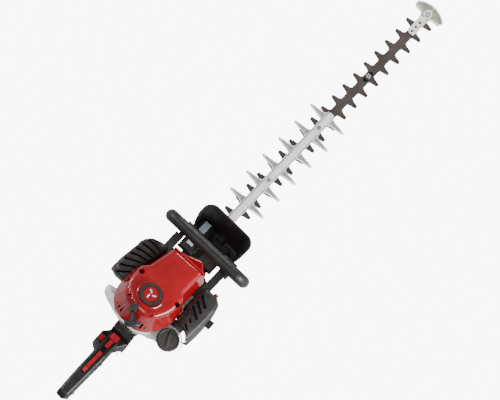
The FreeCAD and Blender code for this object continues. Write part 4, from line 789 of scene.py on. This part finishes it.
def make_fuel_tank():
    """The pale tank round the engine's back, leaning forwards below, with a shoulder up to the filler."""
    rings = shoulder_rings(TANK_PLAN, TANK_LOW + 7, TANK_TOP, -1.5, 13, 12, steps=8)
    foot = round_off(inset(TANK_PLAN, 5), 8)
    rings.insert(0, at([tuple(point) for point in foot], TANK_LOW))
    leaned = []
    for ring in rings:
        leaned.append([(x + max(TANK_FRONT - x, 0) / TANK_LEAN_RUN * (TANK_TOP - z) * TANK_LEAN, y, z)
                       for x, y, z in ring])
    tank = make_mesh("fuel_tank_look", lambda bm: skin(bm, leaned))
    neck = turned(NECK, centre=(*CAP, 0), sides=64)
    for index, shift in enumerate(NECK_LEAN):
        neck[index] = [(x + shift, y + shift * 0.5, z) for x, y, z in neck[index]]
    saddle = shoulder_rings(SADDLE_PLAN, 92, 117, 0, 9, 12, steps=6)
    saddle = [[(x + (TANK_TOP - z) * SADDLE_LEAN, y, z) for x, y, z in ring] for ring in saddle]
    shoulder_centre = (CAP[0] + NECK_SHOULDER_SHIFT, CAP[1] + NECK_SHOULDER_SHIFT, 0)
    shoulder = turned(NECK_SHOULDER, centre=shoulder_centre, sides=64)
    tank = combined(tank, [saddle, neck, shoulder], "UNION")
    hollow = [turned([(CASE_HOLLOW_RADIUS, 40), (CASE_HOLLOW_RADIUS, 140)],
                     centre=(ENGINE_X, 0, 0), sides=72),
              turned([(13, 112), (13, 125)], centre=(*CAP, 0), sides=48),
              box(ENGINE_X, -20, -33, 33, 40, 140)]
    tank = softened(combined(tank, hollow), 1.2, 2, 50)
    piece("fuel_tank_look", tank, "machine", "tank_plastic", "fuel_tank", smooth=math.radians(50))


CAP_PROFILE = [(20.6, 118.9), (22.0, 119.5), (22.2, 120.5), (22.2, 123.4), (21.9, 124.4), (21.0, 125.4),
               (19.4, 125.9), (18.2, 125.7), (17.4, 124.9), (10, 124.5), (2, 124.4)]
CAP_SIDES = 192
CAP_FLUTES = (32, 1.5, 20.8)
CAP_GRIP_TURN = math.radians(25)


def make_fuel_cap():
    """The knurled filler cap, with a shallow dish and the bar across it that the fingers turn."""
    rings = turned(CAP_PROFILE, centre=(*CAP, 0), sides=CAP_SIDES, flutes=CAP_FLUTES)
    mesh = tool_mesh("fuel_cap_look", [rings])
    grip = shoulder_rings(rectangle(-16.6, 16.6, -3.4, 3.4), 123, 125.9, 12, 1.2, 1.5, steps=3)
    cosine, sine = math.cos(CAP_GRIP_TURN), math.sin(CAP_GRIP_TURN)
    grip = [[(x * cosine - y * sine + CAP[0], x * sine + y * cosine + CAP[1], z) for x, y, z in ring]
            for ring in grip]
    plug = turned([(12.3, 115.6), (12.3, 119.5)], centre=(*CAP, 0), sides=48)
    mesh = combined(mesh, [grip, plug], "UNION")
    piece("fuel_cap_look", mesh, "fuel_cap", "black_plastic", "fuel_cap", smooth=math.radians(40),
          look="cap_plastic")


# ---------------------------------------------------------------- rear handle

GRIP_SIDE = [(-112.5, 92), (-140, 100.5), (-165, 105.5), (-205, 105.5), (-240, 102.6), (-266, 98),
             (-275.6, 88.5), (-271, 77), (-252.4, 30), (-246.5, 16), (-236, 5.4), (-170, 5.4), (-150, 6.5),
             (-112.5, 26.5)]
LOOP_SIDE = [(-157, 76.5), (-236, 76.5), (-247, 71.5), (-249, 61), (-240, 34), (-232, 22),
             (-170, 22), (-157, 32)]
HANDLE_RIM = 5.5
HANDLE_FRONT = -112.6
HANDLE_FLARE = {
    1: [(-161, 4), (-158, 11.5), (-152, 20), (-146, 26.6), (-126, 26.6), (-119, 21), (-114, 17),
        (HANDLE_FRONT, 16.6), (HANDLE_FRONT, 4)],
    -1: [(-139, -4), (-136, -14), (-118, -24.6), (HANDLE_FRONT, -24.6), (HANDLE_FRONT, -4)],
}


def grip_width(x):
    """Half the handle's width: slim at the rear end, fuller towards the trigger."""
    share = min(max((x + 276) / 100, 0), 1)
    return 9.6 + 3.0 * math.sin(share * math.pi / 2)


def handle_half(side):
    """One of the two shells: the looped profile drawn out sideways to a round rim, and its flare."""
    flat = [(share, None) for share in (0.0, 0.45)]
    rim = [(None, math.radians(turn)) for turn in range(0, 91, 18)]

    def rings(profile, radius, outwards):
        made = []
        for share, turn in flat + rim:
            ring = []
            depth = 0.0 if turn is None else HANDLE_RIM * (1 - math.cos(turn))
            for point in round_off(inset(profile, depth * outwards), radius):
                width = grip_width(point.x)
                y = width * share if turn is None else width - HANDLE_RIM + HANDLE_RIM * math.sin(turn)
                ring.append((point.x, side * y, point.y))
            made.append(ring)
        return made

    body = tool_mesh("handle", [rings(GRIP_SIDE, 7, 1)])
    hole = rings(LOOP_SIDE, 9, -0.55)
    hole = [[(x, -side * 2, z) for x, _, z in hole[0]],
            *hole,
            [(x, y + side * 3, z) for x, y, z in hole[-1]]]
    mesh = combined(body, [hole])
    flare = shoulder_rings(HANDLE_FLARE[side], 62, 92.5, 1, 4, 4, steps=4)
    foot = [(x * 0.45 + HANDLE_FRONT * 0.55, y * 0.8, 36) for x, y, _ in flare[0]]
    flare.insert(0, foot)
    cuts = [
        box(-145.4, -126, side * 13.6, side * 23.4, 85.4, 98),   # stop switch, on the left only
        box(-160, -112, -4.8, 4.8, 96.5, 115),                   # lock lever
        box(-216, -161, -4.2, 4.2, 94, 112),                     # lock-out lever
        box(-200, -154, -4.7, 4.7, 50, 92),                      # trigger
        box(-236, -157, -8, 8, 81.5, 99),                        # the levers' room inside the grip
        turned([(9.2, -150), (9.2, -105)], axis="X", centre=(0, 0, 60)),
    ]
    if side < 0:
        cuts = cuts[1:]
    return joined(combined(mesh, cuts), combined(tool_mesh("flare", [flare]), cuts))


def make_rear_handle():
    """Both half shells of the handle."""
    for side, name in ((1, "rear_handle_left"), (-1, "rear_handle_right")):
        piece(name + "_look", softened(handle_half(side), 0.5, 2, 45), "rear_handle", "handle_plastic", name)


# ---------------------------------------------------------------- guard, pull, tip and bar

GUARD_PLAN = [(140, -66), (173, -66), (185.5, -54), (187, 34), (175, 47.6), (140, 47.6)]


GUARD_FLOOR = 51
GUARD_OUTSIDE = ((12, 10, 50.4), (9, 13, 51), (6, 18, 56), (2.4, 22, 90), (0.6, 24, 126), (0.2, 24, 129.4))
GUARD_INSIDE = ((3.0, 21, 129.4), (3.6, 20, 126), (5.4, 18, 90), (9, 14, 60), (13, 9, 54), (15, 8, 53.4))


def guard_rings(levels):
    """The guard's plan at several levels, each (how far in, corner radius, height)."""
    return [at(round_off(inset(GUARD_PLAN, depth), corner, 8), z) for depth, corner, z in levels]


def make_hand_guard():
    """The moulded tray in front of the loop handle: flaring walls, a rolled rim, boxes on its floor."""
    mesh = tool_mesh("guard", [guard_rings(GUARD_OUTSIDE) + guard_rings(GUARD_INSIDE)])
    mesh = combined(mesh, [box(120, 147, -80, 60, 53.5, 140)])
    floor = shoulder_rings(rectangle(106, 154, -42, 38), 50.4, 53.2, 1, 0.8, 2, steps=2)
    boxes = [shoulder_rings(rectangle(106, 176, 6, 37.5), GUARD_FLOOR, 64, 4, 2, 3, steps=4),
             shoulder_rings(rectangle(106, 163, -42, -6), GUARD_FLOOR, 62, 4, 2, 3, steps=4),
             shoulder_rings(rectangle(110, 174, 3, 9), GUARD_FLOOR, 66.5, 6, 2, 2, steps=4),
             turned([(8.5, GUARD_FLOOR), (7.6, 59), (6.6, 60.4), (3.4, 60.6), (3, 58.5), (0.5, 58.4)],
                    centre=(170, -14, 0)),
             turned([(6, GUARD_FLOOR), (5.6, 63), (2.4, 63.4), (0.4, 63.2)], centre=(160, -30, 0))]
    mesh = joined(softened(mesh, 0.7, 2, 40), floor, *boxes)
    piece("hand_guard_look", mesh, "machine", "black_plastic", "hand_guard")


PULL_HEIGHT = 196
PULL_TURN = math.radians(216.87)
PULL_STEM = [(3.2, 7.4), (3.4, 12), (4.6, 18), (5.2, 22), (5.0, 26)]
PULL_SHARES = (-1, -0.96, -0.85, -0.6, -0.3, 0, 0.3, 0.6, 0.85, 0.96, 1)
PULL_SIDES = 24


def make_starter_handle():
    """The rubbery T-shaped pull, turned at a slight angle, with the stem that its rope runs into."""
    rings = []
    for share in PULL_SHARES:
        size = max((1 - abs(share) ** 6) ** 0.5, 0.25)
        fullness = 0.9 + 0.02 * (4.4 + 0.8 * math.cos(share * math.pi))
        ring = []
        for index in range(PULL_SIDES):
            turn = math.tau * index / PULL_SIDES
            ring.append((30.5 + 6.0 * size * math.cos(turn) - 2.2 * share * share,
                         share * 15, 7.0 * size * math.sin(turn) * fullness))
        rings.append(ring)
    mesh = combined(tool_mesh("pull", [rings]), [turned(PULL_STEM, axis="X", sides=32)], "UNION")
    mesh = softened(mesh, 0.6, 2)
    mesh.transform(Matrix.Translation((PULL[0] * MM, PULL[1] * MM, PULL_HEIGHT * MM))
                   @ Matrix.Rotation(PULL_TURN, 4, "Z"))
    piece("starter_handle_look", mesh, "starter_pull", "handle_rubber", "starter_handle")


TIP_BOLT_X = 772.5
TIP_FRONT = 793
TIP_RADIUS = 46
TIP_LOW = 35.6
TIP_TURNS = (-43, *range(-36, 37, 8), 43)
TONGUE_PLAN = [(722, -6), (722, 6), (728, 8.2), (764, 8.6), (764, -8.6), (728, -8.2)]
TONGUE_HOLES_X = (728, 739, 750)


def tip_outline(depth):
    """The crescent's outline, moved inwards by depth."""
    radius = TIP_RADIUS - depth
    front = [(TIP_FRONT - TIP_RADIUS + radius * math.cos(turn), radius * math.sin(turn))
             for turn in map(math.radians, TIP_TURNS)]
    side = [(778, 31.2), (773, 30.6), (769.5, 26), (769, 20), (768, 13), (763, 9.6), (758, 9)]
    left = inset(side + [(x, -y) for x, y in reversed(side)], depth)
    return front + left


def make_tip_protector():
    """The cast tip: a crescent web inside a raised rim, a round boss for its bolt, and the drilled tongue."""
    low = TIP_LOW
    levels = ((0.8, -2.6), (0, -1.8), (0, 2.6), (0.8, 3.4), (2.6, 3.4), (3.5, 1.0))
    mesh = tool_mesh("tip", [[at(tip_outline(depth), low + rise) for depth, rise in levels]])
    boss = turned([(8.6, low), (8.2, low + 3.6), (7.4, low + 4.4)], centre=(TIP_BOLT_X, 0, 0))
    tongue = shoulder_rings(TONGUE_PLAN, low, low + 3.2, 2, 1.4, 6, steps=3)
    rib_section = ((-0.9, low), (0.9, low), (0.7, low + 3.0), (-0.7, low + 3.0))
    rib = [[(x, y, z) for y, z in rib_section] for x in (776, 791)]
    mesh = combined(mesh, [tongue, boss, rib], "UNION")
    cuts = [turned([(2.3, low - 5), (2.3, low + 2.2), (3.0, low + 6)], centre=(x, 0, 0))
            for x in TONGUE_HOLES_X]
    bolt_seat = turned([(5.2, low + 2.6), (5.2, low + 8)], centre=(TIP_BOLT_X, 0, 0))
    teeth_room = box(700, 776.5, -40, 40, low - 6, low)
    blade_room = box(700, 784, -14, 14, low - 8, low)
    mesh = combined(mesh, [*cuts, bolt_seat, teeth_room, blade_room])
    piece("tip_protector_look", softened(mesh, 0.5, 2), "machine", "tip_alloy", "tip_protector")


# ---------------------------------------------------------------- tooth-guard bar

BAR_LOW = 35.6
BAR_START, BAR_END = 60, 502
BAR_SECTION = mirrored([(-8.9, 0), (-8.9, 2.2), (-8.4, 2.8), (-7.3, 2.9), (-6.9, 1.4), (-6.1, 1.4),
                        (-5.3, 3.7), (-4.5, 4.5)])
BAR_ENDS = ((BAR_START, 1), (BAR_END - 4, 1), (BAR_END - 1.2, 0.94), (BAR_END, 0.84))
BAR_BOLTS = (181.5, 322.5, 463.5)
BOLT_BOSS = [(6.8, 2), (6.7, 4.6), (6.1, 5.4), (5.0, 5.6), (2.6, 5.6)]
TOOTH_FIRST, TOOTH_PITCH, TOOTH_COUNT = 488.6, 45, 6
GUARD_TOOTH = mirrored([(-11.6, 7.6), (-8.2, 9.6), (-6.2, 14), (-2.6, 38.5), (-1.7, 40.6)], (0, 41.4))
GUARD_CHANNEL = mirrored([(-7.6, 7.4), (-5.6, 10), (-4.2, 14), (-1.1, 34), (-0.7, 35.4)], (0, 35.9))


def guard_tooth(x, side):
    """A pressed tooth: a blunt tapered finger with a raised rim and a sunk channel running into its root."""
    edge = [(x + a, b * side) for a, b in GUARD_TOOTH]
    inner = [(x + a, b * side) for a, b in GUARD_CHANNEL]
    middle = [((p[0] * 0.62 + q[0] * 0.38), (p[1] * 0.62 + q[1] * 0.38)) for p, q in zip(edge, inner)]
    bottom = [(px * 0.8 + x * 0.2, py) for px, py in inner]
    return [at(edge, BAR_LOW), at(edge, BAR_LOW + 1.9), at(middle, BAR_LOW + 3.2), at(inner, BAR_LOW + 2.7),
            at(bottom, BAR_LOW + 0.9)]


def make_tooth_guard_bar():
    """The bright ridged bar, its blunt teeth on both sides and a round boss at each bolt."""
    sections = [[(x, y * squeeze, BAR_LOW + z) for y, z in BAR_SECTION] for x, squeeze in BAR_ENDS]
    mesh = tool_mesh("tooth_guard_bar_look", [sections])
    teeth = [guard_tooth(TOOTH_FIRST - TOOTH_PITCH * index, side)
             for index in range(TOOTH_COUNT) for side in (1, -1)]
    boss = [(radius, BAR_LOW + rise) for radius, rise in BOLT_BOSS]
    bosses = [turned(boss, centre=(x, 0, 0)) for x in BAR_BOLTS]
    piece("tooth_guard_bar_look", joined(mesh, *teeth, *bosses), "machine", "silver_bar", "tooth_guard_bar")


# ---------------------------------------------------------------- blade teeth and collars

BLADE_LOW = {"lower_blade": 31.2, "upper_blade": 33.4}
BLADE_TEETH, BLADE_PITCH, BLADE_FIRST = 18, 30, 741
BLADE_TOOTH = mirrored([(-10.6, 7.2), (-7.4, 8.4), (-5.7, 10.6), (-4.8, 13.4), (-2.9, 22.6), (-2.5, 23.6)])
BLADE_CREST = mirrored([(-10.0, 6.0), (-6.8, 7.2), (-4.9, 9.8), (-3.8, 13.2), (-2.1, 21.6), (-1.8, 22.0)])
CREST_RISE = 2.04


def blade_tooth(x, side, low):
    """One cutter: a stubby ground tooth with sweeping roots and a bevelled edge all round."""
    edge = [(x + a, b * side) for a, b in BLADE_TOOTH]
    crest = [(x + a, b * side) for a, b in BLADE_CREST]
    return [at(edge, low - 0.04), at(edge, low + 1.1), at(crest, low + CREST_RISE)]


def make_blade_teeth():
    """The ground teeth along both edges of both blades."""
    for blade, low in BLADE_LOW.items():
        teeth = []
        for side, middle in ((1, BLADE_FIRST), (-1, BLADE_FIRST + BLADE_PITCH / 2)):
            teeth += [blade_tooth(middle - BLADE_PITCH * index, side, low) for index in range(BLADE_TEETH)]
        piece(blade + "_teeth", tool_mesh(blade + "_teeth", teeth), blade, "blade_steel")


FRONT_BOLT_X = 604.5
COLLAR = [(2.6, 31), (4, 31), (4, 35.55), (2.6, 35.55)]
WASHER = [(2.6, 35.5), (6.5, 35.5), (6.5, 36.8), (6.1, 37.2), (2.6, 37.2)]


def make_collars():
    """The collars the blades slide on, and a narrow washer under the bolt in front of the bar."""
    rings = [turned(COLLAR, centre=(x, 0, 0)) for x in (*BAR_BOLTS, FRONT_BOLT_X, TIP_BOLT_X)]
    rings.append(turned(WASHER, centre=(FRONT_BOLT_X, 0, 0)))
    mesh = tool_mesh("blade_collars_look", rings)
    piece("blade_collars_look", mesh, "machine", "blade_steel", "blade_collars")


CASE_FLANGES = {
    "case_flange_left": [(50, 18), (101, 18), (101, 30), (96, 43), (50, 43)],
    "case_flange_right": [(50, -50), (92, -50), (97, -40), (118, -30), (118, -18), (50, -18)],
}


def make_case_flange():
    """The black mounting flange that shows between the front loop's plates and the engine."""
    for name, plan in CASE_FLANGES.items():
        piece(name, block(name, plan, 42, 53, 2, 2, 3, steps=3), "machine", "case_paint")


dress_cad_nodes()
make_recoil_cover()
make_badge()
make_muffler_cover()
make_cleaner_cover()
make_fuel_tank()
make_fuel_cap()
make_rear_handle()
make_hand_guard()
make_starter_handle()
make_tip_protector()
make_tooth_guard_bar()
make_blade_teeth()
make_collars()
make_case_flange()
make_stage()
make_camera()
